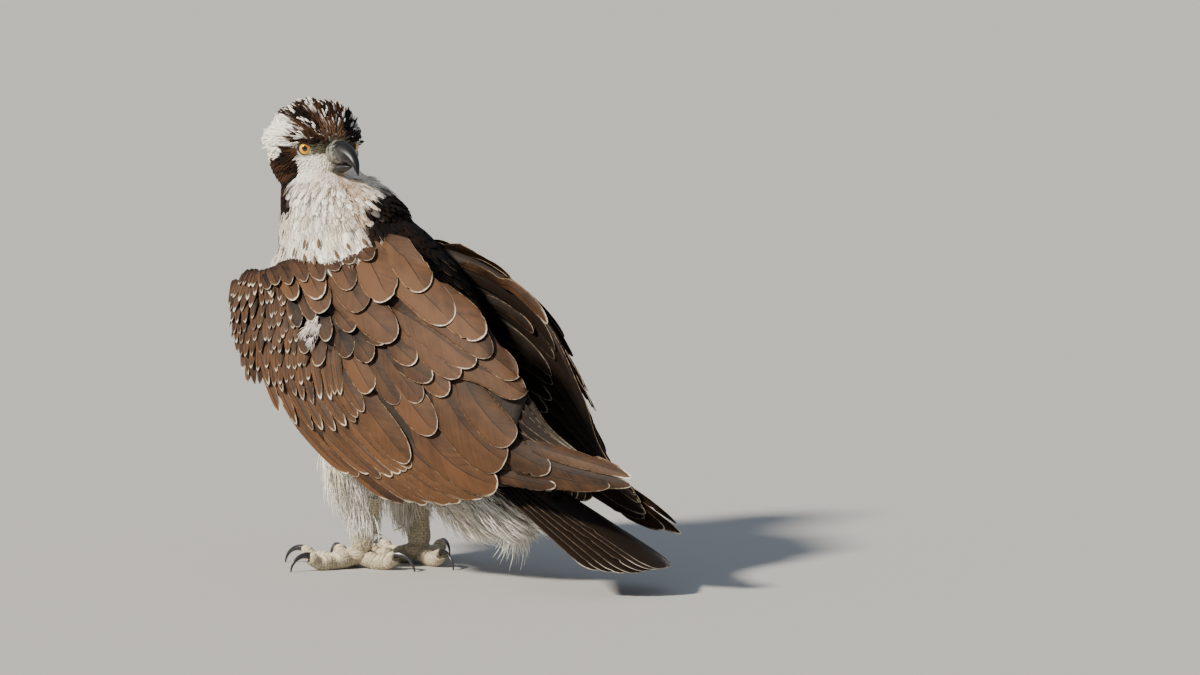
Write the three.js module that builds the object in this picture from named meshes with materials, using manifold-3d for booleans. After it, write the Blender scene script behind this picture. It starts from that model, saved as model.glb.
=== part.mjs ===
// Osprey, life size, standing on the floor with its head turned back over its left shoulder.
// Millimetres. -X is the way the breast faces, -Y is the bird's left side, +Z is up, and the
// feet stand at z = 0. Every sub-part is one closed solid in its own named mesh.
import * as THREE from 'three';
import { mergeVertices } from 'three/addons/utils/BufferGeometryUtils.js';
import Module from 'manifold-3d';

const wasm = await Module();
wasm.setup();

// Driving sizes
const GAP = 0.3; // clearance that touching sub-parts keep
const LEFT = -1; // side of the bird, as the sign of Y
const RIGHT = 1;

// Torso: each station is a ring through a breast point and a back point.
// Columns: breast x, breast z, back x, back z, half width
const TORSO_STATIONS = [
  [-98, 262, 18, 292, 46],
  [-102, 234, 52, 268, 54],
  [-86, 198, 82, 240, 56],
  [-58, 160, 106, 206, 54],
  [-30, 124, 124, 170, 49],
  [4, 92, 138, 142, 42],
  [50, 66, 146, 124, 34],
  [98, 46, 152, 112, 27],
  [142, 40, 160, 104, 19],
];
const TORSO_RINGS = 12;
const TORSO_SIDES = 20;
const BODY_POWER = 0.94; // below 1 a ring bulges towards its corners

// Neck: centre x, y, z, half depth, half width, from the torso up into the head
const NECK_STATIONS = [
  [-39, 0, 277, 60.8, 46],
  [-44, -1, 293, 55, 44],
  [-54, -3, 311, 43, 39],
  [-66, -4, 326, 32, 31],
  [-68, -4, 340, 18, 20],
];
const NECK_RINGS = 6;
const NECK_UPRIGHT = 3; // rings over which the neck's rings turn level

// Head: its own axes run forward, to the bird's left, and up
const HEAD_CENTRE = new THREE.Vector3(-65, -4.5, 337.5);
const HEAD_TURN = 73; // degrees from -Y towards +X that the bill points
const HEAD_NOD = 6; // degrees that the bill points above the level
// Columns: forward, middle height, half width, half height
const HEAD_STATIONS = [
  [-41, 1, 14, 14],
  [-36, 2, 25.5, 26],
  [-25, 3.5, 33.5, 34],
  [-11, 4, 36.8, 37],
  [4, 4, 35.3, 36],
  [15, 2.5, 30.2, 31.5],
  [24, 0, 22, 24.5],
  [32, -2, 14, 17],
];
const HEAD_RINGS = 11;
const HEAD_SIDES = 20;
const HEAD_POWER = 0.88; // a broad, flat crown

// Eyes and lids
const EYE_RADIUS = 7;
const EYE_PLACE = { forward: 16.9, side: 20.7, up: 3.5 };
const EYE_OUTWARD = 40; // degrees between an eye's axis and the bill
const LID_RING = 5.9; // radius of the lid's rim
const LID_THICKNESS = 1.4;
const LID_CLEAR = 0.4; // how far the rim stands off the eye
const SOCKET = { radius: 10, out: 12.6 }; // shallow hollow round the lids
// Brow: forward, out to the side, up, radius, from the bill to behind the eye
const BROW_STATIONS = [
  [33, 9, 9.5, 2],
  [28, 17.5, 10.6, 3.4],
  [22, 24.5, 12.2, 4.2],
  [12, 30.5, 14.4, 4.2],
  [1, 34.5, 16, 2.4],
];
const BROW_SIDES = 6;
const BROW_FLAT = 0.75;

// Bill: top forward, top up, bottom forward, bottom up, half width
const UPPER_BILL = [
  [27, 8.5, 26, -10.5, 11],
  [35, 8.8, 34, -11, 10.2],
  [43, 7.6, 42, -11, 8.8],
  [51, 4.2, 49, -11, 7],
  [58, -1.5, 54.5, -12, 5],
  [63, -8.5, 59.2, -14.5, 3.4],
  [65, -15.5, 62.2, -18.2, 1.9],
  [65, -21.3, 64.2, -21.2, 0.4],
];
const LOWER_BILL = [
  [26, -9.8, 27, -17.5, 9.5],
  [34, -10.2, 34, -18, 8],
  [42, -10.6, 42, -17, 6],
  [49, -11.6, 48.5, -15.4, 3.8],
  [53, -13.2, 52.8, -14.2, 1],
];
const BILL_RINGS = 10;
const BILL_SIDES = 12;
const NOSTRIL = { forward: 39, side: 9.4, up: 3.2, length: 5, width: 1.4, tilt: 40, sides: 8 };

// Wings: upper edge x, y, z, lower edge x, y, z, bulge, for the left wing from wrist to tip
const WING_STATIONS = [
  [-104, -50, 238, -111, -58, 214, 3],
  [-72, -46, 248, -97, -66, 178, 9],
  [-22, -38, 261, -55, -72, 137, 16],
  [36, -33, 264, 8, -71, 90, 19],
  [96, -32, 248, 66, -67, 68, 20],
  [152, -34, 216, 118, -60, 64, 17],
  [190, -35, 168, 178, -50, 77, 11],
  [224, -33, 130, 236, -40, 83, 6],
  [300, -27, 102, 304, -29, 88, 1],
];
const RIGHT_WING_OUT = 9; // the right wing stands further from the body
const RIGHT_WING_DROP = 44; // and its tip hangs lower
const WING_CORE = { s0: 0.02, s1: 0.78, t0: 0.02, t1: 0.93, thick: 24, edge: 2.4 };
const CORE_STEPS_S = 8;
const CORE_STEPS_T = 5;
const CORE_DEPTH = 0.4; // how deep the core's outer face lies under the wing's surface
const CORE_ROUND = { wrist: 5, tip: 2.2, edge: 0.05, power: 0.8 }; // how fast the core fills out
const WING_SWELL = { power: 0.8, up: 0.35 };
const VANE_THICKNESS = 1.1;
const VANE_RIDGE = 0.1; // how far the shaft line stands proud
const VANE_SHOULDER = 0.62; // where along a vane its tip starts to round off
const VANE_ROOT = 0.45; // width of a vane's root, as a share of its greatest

// Rows of wing vanes from the lowest tier to the highest. Each row runs from one root place
// to another on the wing, s from wrist to tip and t from back to lower edge.
// turn is the angle in degrees from the run of the wing towards its lower edge, rise is the
// height of root and tip over the wing's surface, and tilt is how far a vane's lower edge
// stands under its middle, so that the vanes of a row lie over one another.
const WING_ROWS = [
  { count: 5, from: [0.72, 0.86], to: [0.66, 0.26], length: [128, 166], half: [10, 12],
    turn: [-1, 2], rise: [-1.2, -1.2], tilt: 1.8, steps: 3 },
  { count: 6, from: [0.2, 0.88], to: [0.6, 0.7], length: [150, 92], half: [9, 13],
    turn: [2, 8], rise: [-1.6, 0], tilt: 3, steps: 3 },
  { count: 3, from: [0.56, 0.62], to: [0.6, 0.22], length: [86, 92], half: [16, 16],
    turn: [3, 4], rise: [-1.6, 2], tilt: 1.5, steps: 3 },
  { count: 6, from: [0.12, 0.76], to: [0.54, 0.5], length: [62, 78], half: [9, 16],
    turn: [3, 10], rise: [-1.6, 2.6], tilt: 1.6, steps: 2 },
  { count: 6, from: [0.08, 0.55], to: [0.5, 0.36], length: [42, 48], half: [9, 14],
    turn: [3, 14], rise: [-1.6, 3.2], tilt: 1.5, steps: 2 },
  { count: 5, from: [0.12, 0.28], to: [0.6, 0.12], length: [46, 84], half: [13, 19],
    turn: [22, 10], rise: [-1.6, 4], tilt: 1.5, steps: 3 },
  { count: 4, from: [0.14, 0.04], to: [0.46, -0.04], length: [46, 66], half: [15, 18],
    turn: [36, 18], rise: [-1.6, 5], tilt: 1.5, steps: 3 },
];

// Tail
const TAIL_ROOT = new THREE.Vector3(134, 0, 92);
const TAIL_TIP = new THREE.Vector3(306, 0, 19);
const TAIL_FEATHERS = 12;
const TAIL_FAN = 9; // degrees that the outermost feather turns out
const TAIL_HALF_VANE = 12.5;
const TAIL_SPREAD = 15; // half width of the feathers' roots
const TAIL_ROOF = 8; // how much lower the outermost feather lies at the tip
const TAIL_ROOF_ROOT = 2.2; // and at its root
const TAIL_ROUND = 0.17; // how much shorter the outermost feather is
const TAIL_LEAN = 0.22; // slope of the outermost vane
const TAIL_LIFT = 4; // height of the vanes over the root's middle line
const TAIL_THICKNESS = 1.2;
const TAIL_STEPS = 3;
// Fleshy root: how far it starts behind the feathers' roots, its length, and its half sizes
const TAIL_CORE = { start: -14, length: 74, tall: [15, 2.5], wide: [20, 17], taper: 0.8, drop: 3 };
const TAIL_CORE_RINGS = 6;
const TAIL_CORE_SIDES = 14;

// Legs: foot centres and the way each foot points, in degrees from -X towards -Y
const LEGS = {
  left: { side: LEFT, foot: [2, -28], thigh: [18, -34, 112], heel: [17, -30, 54], turn: 8 },
  right: { side: RIGHT, foot: [19, 25], thigh: [24, 32, 112], heel: [20, 27, 54], turn: -10 },
};
// Thigh: share of the way from hip to heel, how far forward, how far in, half depth, half width
const THIGH_STATIONS = [
  [-0.95, 20, 26, 14, 10],
  [-0.55, 16, 14, 30, 22],
  [-0.1, 12, 4, 35, 27],
  [0.4, 14, 0, 29, 26],
  [0.8, 15, 0, 21, 20],
  [1.15, 10, 0, 14, 14],
  [1.35, 8, 0, 9, 9],
];
const THIGH_SIDES = 14;
const TARSUS_RADIUS = 8.2;
const ANKLE_RADIUS = 7.2;
const TARSUS_SIDES = 12;
const HEEL_TOP = { forward: 2, up: 8 }; // how far the leg goes on past the heel, under the thigh
const HUB_RADIUS = 11;
const HUB_HEIGHT = 12;
const HUB_FLAT = 0.72;
// Toes: angle out from the foot's own front, length to the claw, radius at root and end
const TOES = {
  1: { angle: 176, length: 34, root: 7.2, end: 5.6, claw: 15 },
  2: { angle: 32, length: 43, root: 7, end: 5.4, claw: 14.5 },
  3: { angle: -4, length: 53, root: 7, end: 5.2, claw: 14 },
  4: { angle: -62, length: 45, root: 7, end: 5.2, claw: 13.5 },
};
const TOE_RINGS = 7;
const TOE_SIDES = 8;
const TOE_TIP_HEIGHT = 11.5;
const TOE_PADS = { depth: 0.55, count: 3 }; // swellings under each toe
const TOE_PRESS = 0.9; // height of a toe's middle over the floor, as a share of its radius
const TOE_RAISED = 0.72; // where along a toe its end starts to rise
const TOE_ARCH = { height: 4, share: 0.45 }; // how far a toe's root stands off the floor
const CLAW_RADIUS = 3.4;
const CLAW_TIP = 0.35;
const CLAW_START = 118; // degrees over the level at which a claw's arc starts
const CLAW_SWEEP = 128; // degrees of the arc that a claw makes
const CLAW_SUNK = 2.5; // how deep a claw's root sits in its toe
const CLAW_RINGS = 7;
const CLAW_SIDES = 6;
const FLOOR_BLOCK = 800;

const vec = (x, y, z) => new THREE.Vector3(x, y, z);
const radians = (degrees) => (degrees * Math.PI) / 180;
const mix = (a, b, k) => a + (b - a) * k;

// Smooth curve through rows of numbers, at u from 0 to 1
function through(rows, u) {
  const last = rows.length - 1;
  const at = u * last;
  const i = Math.min(Math.max(Math.floor(at), 0), last - 1);
  const k = at - i;
  const row = (n) => rows[Math.min(Math.max(n, 0), last)];
  const [p0, p1, p2, p3] = [row(i - 1), row(i), row(i + 1), row(i + 2)];
  if (k < 0 || k > 1) {
    return p1.map((v, n) => mix(v, p2[n], k));
  }
  return p1.map((v, n) => {
    const slope1 = (p2[n] - p0[n]) / (i === 0 ? 1 : 2);
    const slope2 = (p3[n] - v) / (i === last - 1 ? 1 : 2);
    const k2 = k * k;
    const k3 = k2 * k;
    return (2 * k3 - 3 * k2 + 1) * v + (k3 - 2 * k2 + k) * slope1
      + (3 * k2 - 2 * k3) * p2[n] + (k3 - k2) * slope2;
  });
}

// Closed geometry from points and triangles
function geometryOf(points, triangles) {
  const geometry = new THREE.BufferGeometry();
  const flat = points.flatMap((p) => [p.x, p.y, p.z]);
  geometry.setAttribute('position', new THREE.Float32BufferAttribute(flat, 3));
  geometry.setIndex(triangles.flat());
  return geometry;
}

// Closed solid through rings of points, with a fan over each end
function loft(rings) {
  const sides = rings[0].length;
  const points = rings.flat();
  const triangles = [];
  for (let r = 0; r < rings.length - 1; r++) {
    for (let i = 0; i < sides; i++) {
      const j = (i + 1) % sides;
      const [a, b] = [r * sides + i, r * sides + j];
      const [c, d] = [a + sides, b + sides];
      triangles.push([a, b, d], [a, d, c]);
    }
  }
  for (const [ring, turned] of [[0, true], [rings.length - 1, false]]) {
    const middle = rings[ring].reduce((sum, p) => sum.add(p), vec(0, 0, 0));
    const centre = points.push(middle.divideScalar(sides)) - 1;
    for (let i = 0; i < sides; i++) {
      const a = ring * sides + i;
      const b = ring * sides + ((i + 1) % sides);
      triangles.push(turned ? [a, centre, b] : [a, b, centre]);
    }
  }
  return solidOf(geometryOf(points, triangles));
}

function solidOf(geometry) {
  const bare = geometry.clone();
  bare.deleteAttribute('normal');
  bare.deleteAttribute('uv');
  const merged = mergeVertices(bare, 1e-4);
  const triVerts = new Uint32Array(merged.index.array);
  const make = () => new wasm.Manifold(new wasm.Mesh({
    numProp: 3,
    vertProperties: new Float32Array(merged.attributes.position.array),
    triVerts,
  }));
  const made = make();
  if (made.volume() > 0) {
    return made;
  }
  for (let i = 0; i < triVerts.length; i += 3) {
    [triVerts[i + 1], triVerts[i + 2]] = [triVerts[i + 2], triVerts[i + 1]];
  }
  return make();
}

const fuse = (solids) => solids.reduce((all, one) => all.add(one));
const cut = (solid, ...tools) => tools.reduce((left, tool) => left.subtract(tool), solid);

// The largest closed surface of a solid, without loose scraps
function largest(solid) {
  const pieces = solid.decompose();
  return pieces.reduce((best, one) => (one.volume() > best.volume() ? one : best));
}

// Ring in the plane of two half axes, its first corner on the first axis or half a side past it
function ellipse(centre, halfA, halfB, sides, power = 1, past = 0) {
  const ring = [];
  for (let i = 0; i < sides; i++) {
    const angle = (2 * Math.PI * (i + past)) / sides;
    const bend = (v) => Math.sign(v) * Math.abs(v) ** power;
    ring.push(centre.clone()
      .addScaledVector(halfA, bend(Math.cos(angle)))
      .addScaledVector(halfB, bend(Math.sin(angle))));
  }
  return ring;
}

// Torso, grown by a margin when it is used as a cutter
function torsoRing(u, grow) {
  const [bx, bz, dx, dz, half] = through(TORSO_STATIONS, u);
  const breast = vec(bx, 0, bz);
  const back = vec(dx, 0, dz);
  const centre = breast.clone().add(back).multiplyScalar(0.5);
  const deep = back.sub(centre);
  deep.setLength(deep.length() + grow);
  return ellipse(centre, deep, vec(0, half + grow, 0), TORSO_SIDES, BODY_POWER);
}

function makeTorso(grow = 0) {
  const rings = [];
  for (let r = 0; r < TORSO_RINGS; r++) {
    rings.push(torsoRing(r / (TORSO_RINGS - 1), grow));
  }
  if (grow > 0) {
    rings.unshift(rings[0].map((p) => p.clone().add(neckAxis().multiplyScalar(grow))));
  }
  return loft(rings);
}

// Way that the neck leaves the torso, square to the torso's first ring
function neckAxis() {
  const [bx, bz, dx, dz] = TORSO_STATIONS[0];
  return vec(-(dz - bz), 0, dx - bx).normalize();
}

function makeNeck(grow = 0) {
  const first = torsoRing(0, grow).map((p) => p.addScaledVector(neckAxis(), GAP - grow));
  const rings = [first];
  for (let r = 1; r < NECK_RINGS; r++) {
    const [x, y, z, deep, half] = through(NECK_STATIONS, r / (NECK_RINGS - 1));
    const lean = neckAxis().lerp(vec(0, 0, 1), Math.min(1, r / NECK_UPRIGHT)).normalize();
    const back = vec(lean.z, 0, -lean.x).multiplyScalar(deep + grow);
    rings.push(ellipse(vec(x, y, z), back, vec(0, half + grow, 0), TORSO_SIDES, BODY_POWER));
  }
  return loft(rings);
}

// Place in the head's own axes
const headFrame = (() => {
  const yaw = radians(HEAD_TURN);
  const nod = radians(HEAD_NOD);
  const forward = vec(Math.sin(yaw) * Math.cos(nod), -Math.cos(yaw) * Math.cos(nod), Math.sin(nod));
  const side = vec(Math.cos(yaw), Math.sin(yaw), 0);
  return { forward, side, up: forward.clone().cross(side) };
})();

function inHead(forward, side, up) {
  return HEAD_CENTRE.clone()
    .addScaledVector(headFrame.forward, forward)
    .addScaledVector(headFrame.side, side)
    .addScaledVector(headFrame.up, up);
}

function skull(grow = 0) {
  const rings = [];
  for (let r = 0; r < HEAD_RINGS; r++) {
    const [forward, height, half, tall] = through(HEAD_STATIONS, r / (HEAD_RINGS - 1));
    rings.push(ellipse(inHead(forward, 0, height),
      headFrame.side.clone().multiplyScalar(half + grow),
      headFrame.up.clone().multiplyScalar(tall + grow), HEAD_SIDES, HEAD_POWER));
  }
  return loft(rings);
}

// Tapered tube along a list of points with a radius at each
function tube(path, radii, sides, flatten = 1, past = 0) {
  const up = vec(0, 0, 1);
  const rings = path.map((p, i) => {
    const before = path[Math.max(i - 1, 0)];
    const after = path[Math.min(i + 1, path.length - 1)];
    const along = after.clone().sub(before).normalize();
    const across = Math.abs(along.z) > 0.95 ? vec(0, 1, 0).cross(along).normalize()
      : up.clone().cross(along).normalize();
    const over = along.clone().cross(across);
    const [wide, tall] = [across.multiplyScalar(radii[i]), over.multiplyScalar(radii[i] * flatten)];
    return ellipse(p, wide, tall, sides, 1, past);
  });
  return loft(rings);
}

function eyeSolid(side, grow = 0) {
  const ball = new THREE.SphereGeometry(EYE_RADIUS + grow, 12, 8);
  const centre = inHead(EYE_PLACE.forward, side * EYE_PLACE.side, EYE_PLACE.up);
  ball.translate(centre.x, centre.y, centre.z);
  return solidOf(ball);
}

function eyeAxis(side) {
  const out = radians(EYE_OUTWARD);
  return headFrame.forward.clone().multiplyScalar(Math.cos(out))
    .addScaledVector(headFrame.side, side * Math.sin(out));
}

// Point on an eye's axis, in front of its middle
function eyePoint(side, out) {
  return inHead(EYE_PLACE.forward, side * EYE_PLACE.side, EYE_PLACE.up)
    .addScaledVector(eyeAxis(side), out);
}

// Rim of the lids
function lids(side, grow = 0) {
  const rim = new THREE.TorusGeometry(LID_RING, LID_THICKNESS + grow, 5, 14);
  rim.applyQuaternion(new THREE.Quaternion().setFromUnitVectors(vec(0, 0, 1), eyeAxis(side)));
  const centre = eyePoint(side, Math.sqrt(EYE_RADIUS ** 2 - LID_RING ** 2) + LID_CLEAR);
  rim.translate(centre.x, centre.y, centre.z);
  return solidOf(rim);
}

// Hollow in which the lids sit
function socket(side) {
  const ball = new THREE.SphereGeometry(SOCKET.radius, 12, 8);
  const centre = eyePoint(side, SOCKET.out);
  ball.translate(centre.x, centre.y, centre.z);
  return solidOf(ball);
}

// Brow over the eye that gives the bird its frown
function brow(side, grow = 0) {
  const path = BROW_STATIONS.map(([forward, out, up]) => inHead(forward, side * out, up));
  return tube(path, BROW_STATIONS.map((row) => row[3] + grow), BROW_SIDES, BROW_FLAT);
}

function makeEye(side) {
  return eyeSolid(side);
}

function headForm(grow = 0) {
  const face = grow > 0 ? skull(grow) : cut(skull(), socket(LEFT), socket(RIGHT));
  return fuse([face, ...[LEFT, RIGHT].flatMap((side) => [brow(side, grow), lids(side, grow)])]);
}

// What sits in the head: both eyes and the bill
function headInsets() {
  return [eyeSolid(LEFT, GAP), eyeSolid(RIGHT, GAP), bill(UPPER_BILL, GAP), bill(LOWER_BILL, GAP)];
}

function makeHead() {
  return largest(cut(headForm(), ...headInsets()));
}

function bill(stations, grow = 0) {
  const rings = [];
  for (let r = 0; r < BILL_RINGS; r++) {
    const [tf, tu, bf, bu, half] = through(stations, r / (BILL_RINGS - 1));
    const top = inHead(tf, 0, tu);
    const bottom = inHead(bf, 0, bu);
    const centre = top.clone().add(bottom).multiplyScalar(0.5);
    const tall = top.sub(centre);
    tall.setLength(tall.length() + grow);
    rings.push(ellipse(centre, tall, headFrame.side.clone().multiplyScalar(half + grow), BILL_SIDES));
  }
  if (grow > 0) {
    const back = headFrame.forward.clone().multiplyScalar(-grow);
    rings.unshift(rings[0].map((p) => p.clone().add(back)));
  }
  return loft(rings);
}

function nostril(side) {
  const tilt = radians(NOSTRIL.tilt);
  const half = NOSTRIL.length / 2;
  const ends = [-1, 0, 1].map((k) => inHead(NOSTRIL.forward + k * half * Math.cos(tilt),
    side * NOSTRIL.side, NOSTRIL.up + k * half * Math.sin(tilt)));
  return tube(ends, [0.5, 1, 0.5].map((share) => NOSTRIL.width * share), NOSTRIL.sides);
}

function makeUpperBill() {
  return largest(cut(bill(UPPER_BILL), nostril(LEFT), nostril(RIGHT)));
}

function makeLowerBill() {
  return largest(cut(bill(LOWER_BILL), bill(UPPER_BILL, GAP)));
}

// Place on a wing's outer surface, s from wrist to tip and t from back to lower edge
function wingPlace(side, s, t) {
  const [ux, uy, uz, lx, ly, lz, bulge] = through(WING_STATIONS, s);
  const held = Math.min(Math.max(t, 0), 1);
  const swell = bulge * Math.sin(Math.PI * held) ** WING_SWELL.power;
  const x = mix(ux, lx, t);
  const y = mix(uy, ly, t) - swell;
  const z = mix(uz, lz, t) + swell * WING_SWELL.up;
  if (side === LEFT) {
    return vec(x, y, z);
  }
  const rise = Math.min(Math.max((s - 0.5) / 0.5, 0), 1);
  const near = Math.min(Math.max(s / 0.3, 0), 1);
  return vec(x, -y + RIGHT_WING_OUT * near * (1 - 0.9 * rise), z - RIGHT_WING_DROP * rise ** 1.5);
}

// Place, outward normal and the two edge directions of the wing's surface
function wingFrame(side, s, t) {
  const step = 0.004;
  const place = wingPlace(side, s, t);
  const alongS = wingPlace(side, s + step, t).sub(wingPlace(side, s - step, t)).divideScalar(2 * step);
  const alongT = wingPlace(side, s, t + step).sub(wingPlace(side, s, t - step)).divideScalar(2 * step);
  const normal = alongS.clone().cross(alongT).normalize();
  if (normal.y * side < 0) {
    normal.negate();
  }
  return { place, normal, alongS, alongT };
}

// Step on the surface that matches a short move in space
function stepFor(frame, move) {
  const { alongS, alongT } = frame;
  const a = alongS.lengthSq();
  const b = alongS.dot(alongT);
  const c = alongT.lengthSq();
  const p = move.dot(alongS);
  const q = move.dot(alongT);
  const whole = a * c - b * b;
  return [(p * c - q * b) / whole, (q * a - p * b) / whole];
}

// Half width of a vane along its length, as a share of the greatest
function vaneShare(k) {
  const root = Math.min(1, VANE_ROOT + 1.6 * k);
  if (k <= VANE_SHOULDER) {
    return root;
  }
  const past = (k - VANE_SHOULDER) / (1 - VANE_SHOULDER);
  return root * Math.max(Math.sqrt(Math.max(0, 1 - past ** 2)), 0.12);
}

// One feather that lies along a wing's surface
function wingVane(side, s, t, turn, length, half, row) {
  const first = wingFrame(side, s, t);
  const run = first.alongS.clone().normalize();
  const down = first.normal.clone().cross(run);
  if (down.dot(first.alongT) < 0) {
    down.negate();
  }
  const angle = radians(turn);
  let way = run.multiplyScalar(Math.cos(angle)).addScaledVector(down, Math.sin(angle));
  let [atS, atT] = [s, t];
  const rows = [];
  for (let i = 0; i <= row.steps; i++) {
    const k = i / row.steps;
    const frame = wingFrame(side, atS, atT);
    way = way.clone().addScaledVector(frame.normal, -way.dot(frame.normal)).normalize();
    const across = frame.normal.clone().cross(way);
    const wide = half * vaneShare(k);
    const lift = mix(row.rise[0], row.rise[1], k);
    rows.push([-1, 0, 1].map((edge) => {
      const [ds, dt] = stepFor(frame, across.clone().multiplyScalar(edge * wide));
      const spot = wingFrame(side, atS + ds, atT + dt);
      const height = lift + (edge === 0 ? VANE_RIDGE : side * edge * row.tilt * (wide / half));
      return {
        top: spot.place.clone().addScaledVector(spot.normal, height + VANE_THICKNESS / 2),
        under: spot.place.clone().addScaledVector(spot.normal, height - VANE_THICKNESS / 2),
      };
    }));
    const [ds, dt] = stepFor(frame, way.clone().multiplyScalar(length / row.steps));
    atS += ds;
    atT += dt;
  }
  return plate(rows);
}

// Thin closed plate from rows of three places, split alike on both faces
function plate(rows) {
  const points = rows.flatMap((row) => row.flatMap((p) => [p.top, p.under]));
  const id = (r, c, under) => r * 6 + c * 2 + under;
  const triangles = [];
  for (let r = 0; r < rows.length - 1; r++) {
    for (let c = 0; c < 2; c++) {
      const [a, b] = [id(r, c, 0), id(r, c + 1, 0)];
      const [d, e] = [id(r + 1, c, 0), id(r + 1, c + 1, 0)];
      triangles.push([a, b, e], [a, e, d], [a + 1, e + 1, b + 1], [a + 1, d + 1, e + 1]);
    }
    for (const [c, turned] of [[0, false], [2, true]]) {
      const [a, d] = [id(r, c, 0), id(r + 1, c, 0)];
      const faces = [[a, d, d + 1], [a, d + 1, a + 1]];
      triangles.push(...faces.map(([x, y, z]) => (turned ? [x, z, y] : [x, y, z])));
    }
  }
  const last = rows.length - 1;
  for (const [r, turned] of [[0, true], [last, false]]) {
    for (let c = 0; c < 2; c++) {
      const [a, b] = [id(r, c, 0), id(r, c + 1, 0)];
      const faces = [[a, b, b + 1], [a, b + 1, a + 1]];
      triangles.push(...faces.map(([x, y, z]) => (turned ? [x, z, y] : [x, y, z])));
    }
  }
  return solidOf(geometryOf(points, triangles));
}

// Fleshy arm of the folded wing, thick over the flank and thin at its edges
function wingCore(side) {
  const { s0, s1, t0, t1, thick, edge } = WING_CORE;
  const outer = [];
  const inner = [];
  for (let i = 0; i <= CORE_STEPS_S; i++) {
    for (let j = 0; j <= CORE_STEPS_T; j++) {
      const [a, b] = [i / CORE_STEPS_S, j / CORE_STEPS_T];
      const frame = wingFrame(side, mix(s0, s1, a), mix(t0, t1, b));
      const { wrist, tip, edge: rim, power } = CORE_ROUND;
      const full = Math.min(1, a * wrist) * Math.min(1, (1 - a) * tip);
      const body = Math.sin(Math.PI * mix(rim, 1 - rim, b)) ** power;
      const depth = CORE_DEPTH + mix(edge, thick, full * body);
      outer.push(frame.place.clone().addScaledVector(frame.normal, -CORE_DEPTH));
      inner.push(frame.place.clone().addScaledVector(frame.normal, -depth));
    }
  }
  const wide = CORE_STEPS_T + 1;
  const shift = outer.length;
  const triangles = [];
  const wall = (a, b) => triangles.push([a, b, b + shift], [a, b + shift, a + shift]);
  for (let i = 0; i < CORE_STEPS_S; i++) {
    for (let j = 0; j < CORE_STEPS_T; j++) {
      const [a, b] = [i * wide + j, i * wide + j + 1];
      const [c, d] = [a + wide, b + wide];
      triangles.push([a, b, d], [a, d, c]);
      triangles.push([a + shift, d + shift, b + shift], [a + shift, c + shift, d + shift]);
    }
    wall(i * wide, (i + 1) * wide);
    wall((i + 1) * wide + CORE_STEPS_T, i * wide + CORE_STEPS_T);
  }
  for (let j = 0; j < CORE_STEPS_T; j++) {
    wall(j + 1, j);
    wall(CORE_STEPS_S * wide + j, CORE_STEPS_S * wide + j + 1);
  }
  return solidOf(geometryOf([...outer, ...inner], triangles));
}

function wingVanes(side) {
  return WING_ROWS.flatMap((row) => Array.from({ length: row.count }, (_, i) => {
    const k = row.count > 1 ? i / (row.count - 1) : 0;
    return wingVane(side, mix(row.from[0], row.to[0], k), mix(row.from[1], row.to[1], k),
      mix(row.turn[0], row.turn[1], k), mix(row.length[0], row.length[1], k),
      mix(row.half[0], row.half[1], k), row);
  }));
}

function makeWing(side) {
  const whole = fuse([wingCore(side), ...wingVanes(side)]);
  return largest(cut(whole, makeTorso(GAP), makeNeck(GAP)));
}

// Tail: a fleshy root with its feathers fanned in a shallow roof, the middle pair on top
const tailAlong = TAIL_TIP.clone().sub(TAIL_ROOT).normalize();
const tailOver = vec(-tailAlong.z, 0, tailAlong.x);

function tailVane(place) {
  const side = Math.sign(place);
  const out = Math.abs(place);
  const fan = radians(TAIL_FAN * place);
  const across = vec(0, 1, 0);
  const length = TAIL_TIP.distanceTo(TAIL_ROOT) * (1 - TAIL_ROUND * out ** 2);
  const way = tailAlong.clone().multiplyScalar(Math.cos(fan)).addScaledVector(across, Math.sin(fan));
  const flat = across.clone().multiplyScalar(Math.cos(fan)).addScaledVector(tailAlong, -Math.sin(fan));
  const root = TAIL_ROOT.clone().addScaledVector(across, place * TAIL_SPREAD)
    .addScaledVector(tailOver, TAIL_LIFT - TAIL_ROOF_ROOT * out);
  const rows = [];
  for (let i = 0; i <= TAIL_STEPS; i++) {
    const k = i / TAIL_STEPS;
    const wide = TAIL_HALF_VANE * vaneShare(k);
    const middle = root.clone().addScaledVector(way, length * k)
      .addScaledVector(tailOver, -TAIL_ROOF * out * k);
    rows.push([-1, 0, 1].map((edge) => {
      const lean = -side * edge * out * TAIL_LEAN * wide;
      const spot = middle.clone().addScaledVector(flat, edge * wide)
        .addScaledVector(tailOver, lean + (edge === 0 ? VANE_RIDGE : 0));
      return {
        top: spot.clone().addScaledVector(tailOver, TAIL_THICKNESS / 2),
        under: spot.clone().addScaledVector(tailOver, -TAIL_THICKNESS / 2),
      };
    }));
  }
  return plate(rows);
}

function tailCore() {
  const { start, length, tall, wide, taper, drop } = TAIL_CORE;
  const rings = [];
  for (let r = 0; r < TAIL_CORE_RINGS; r++) {
    const k = r / (TAIL_CORE_RINGS - 1);
    const centre = TAIL_ROOT.clone().addScaledVector(tailAlong, start + length * k)
      .addScaledVector(tailOver, 1 - drop * k);
    rings.push(ellipse(centre, tailOver.clone().multiplyScalar(mix(...tall, k ** taper)),
      vec(0, mix(...wide, k), 0), TAIL_CORE_SIDES));
  }
  return loft(rings);
}

function makeTail() {
  const vanes = [];
  for (let i = 0; i < TAIL_FEATHERS; i++) {
    vanes.push(tailVane((2 * i + 1) / TAIL_FEATHERS - 1));
  }
  return largest(cut(fuse([tailCore(), ...vanes]), makeTorso(GAP)));
}

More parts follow.
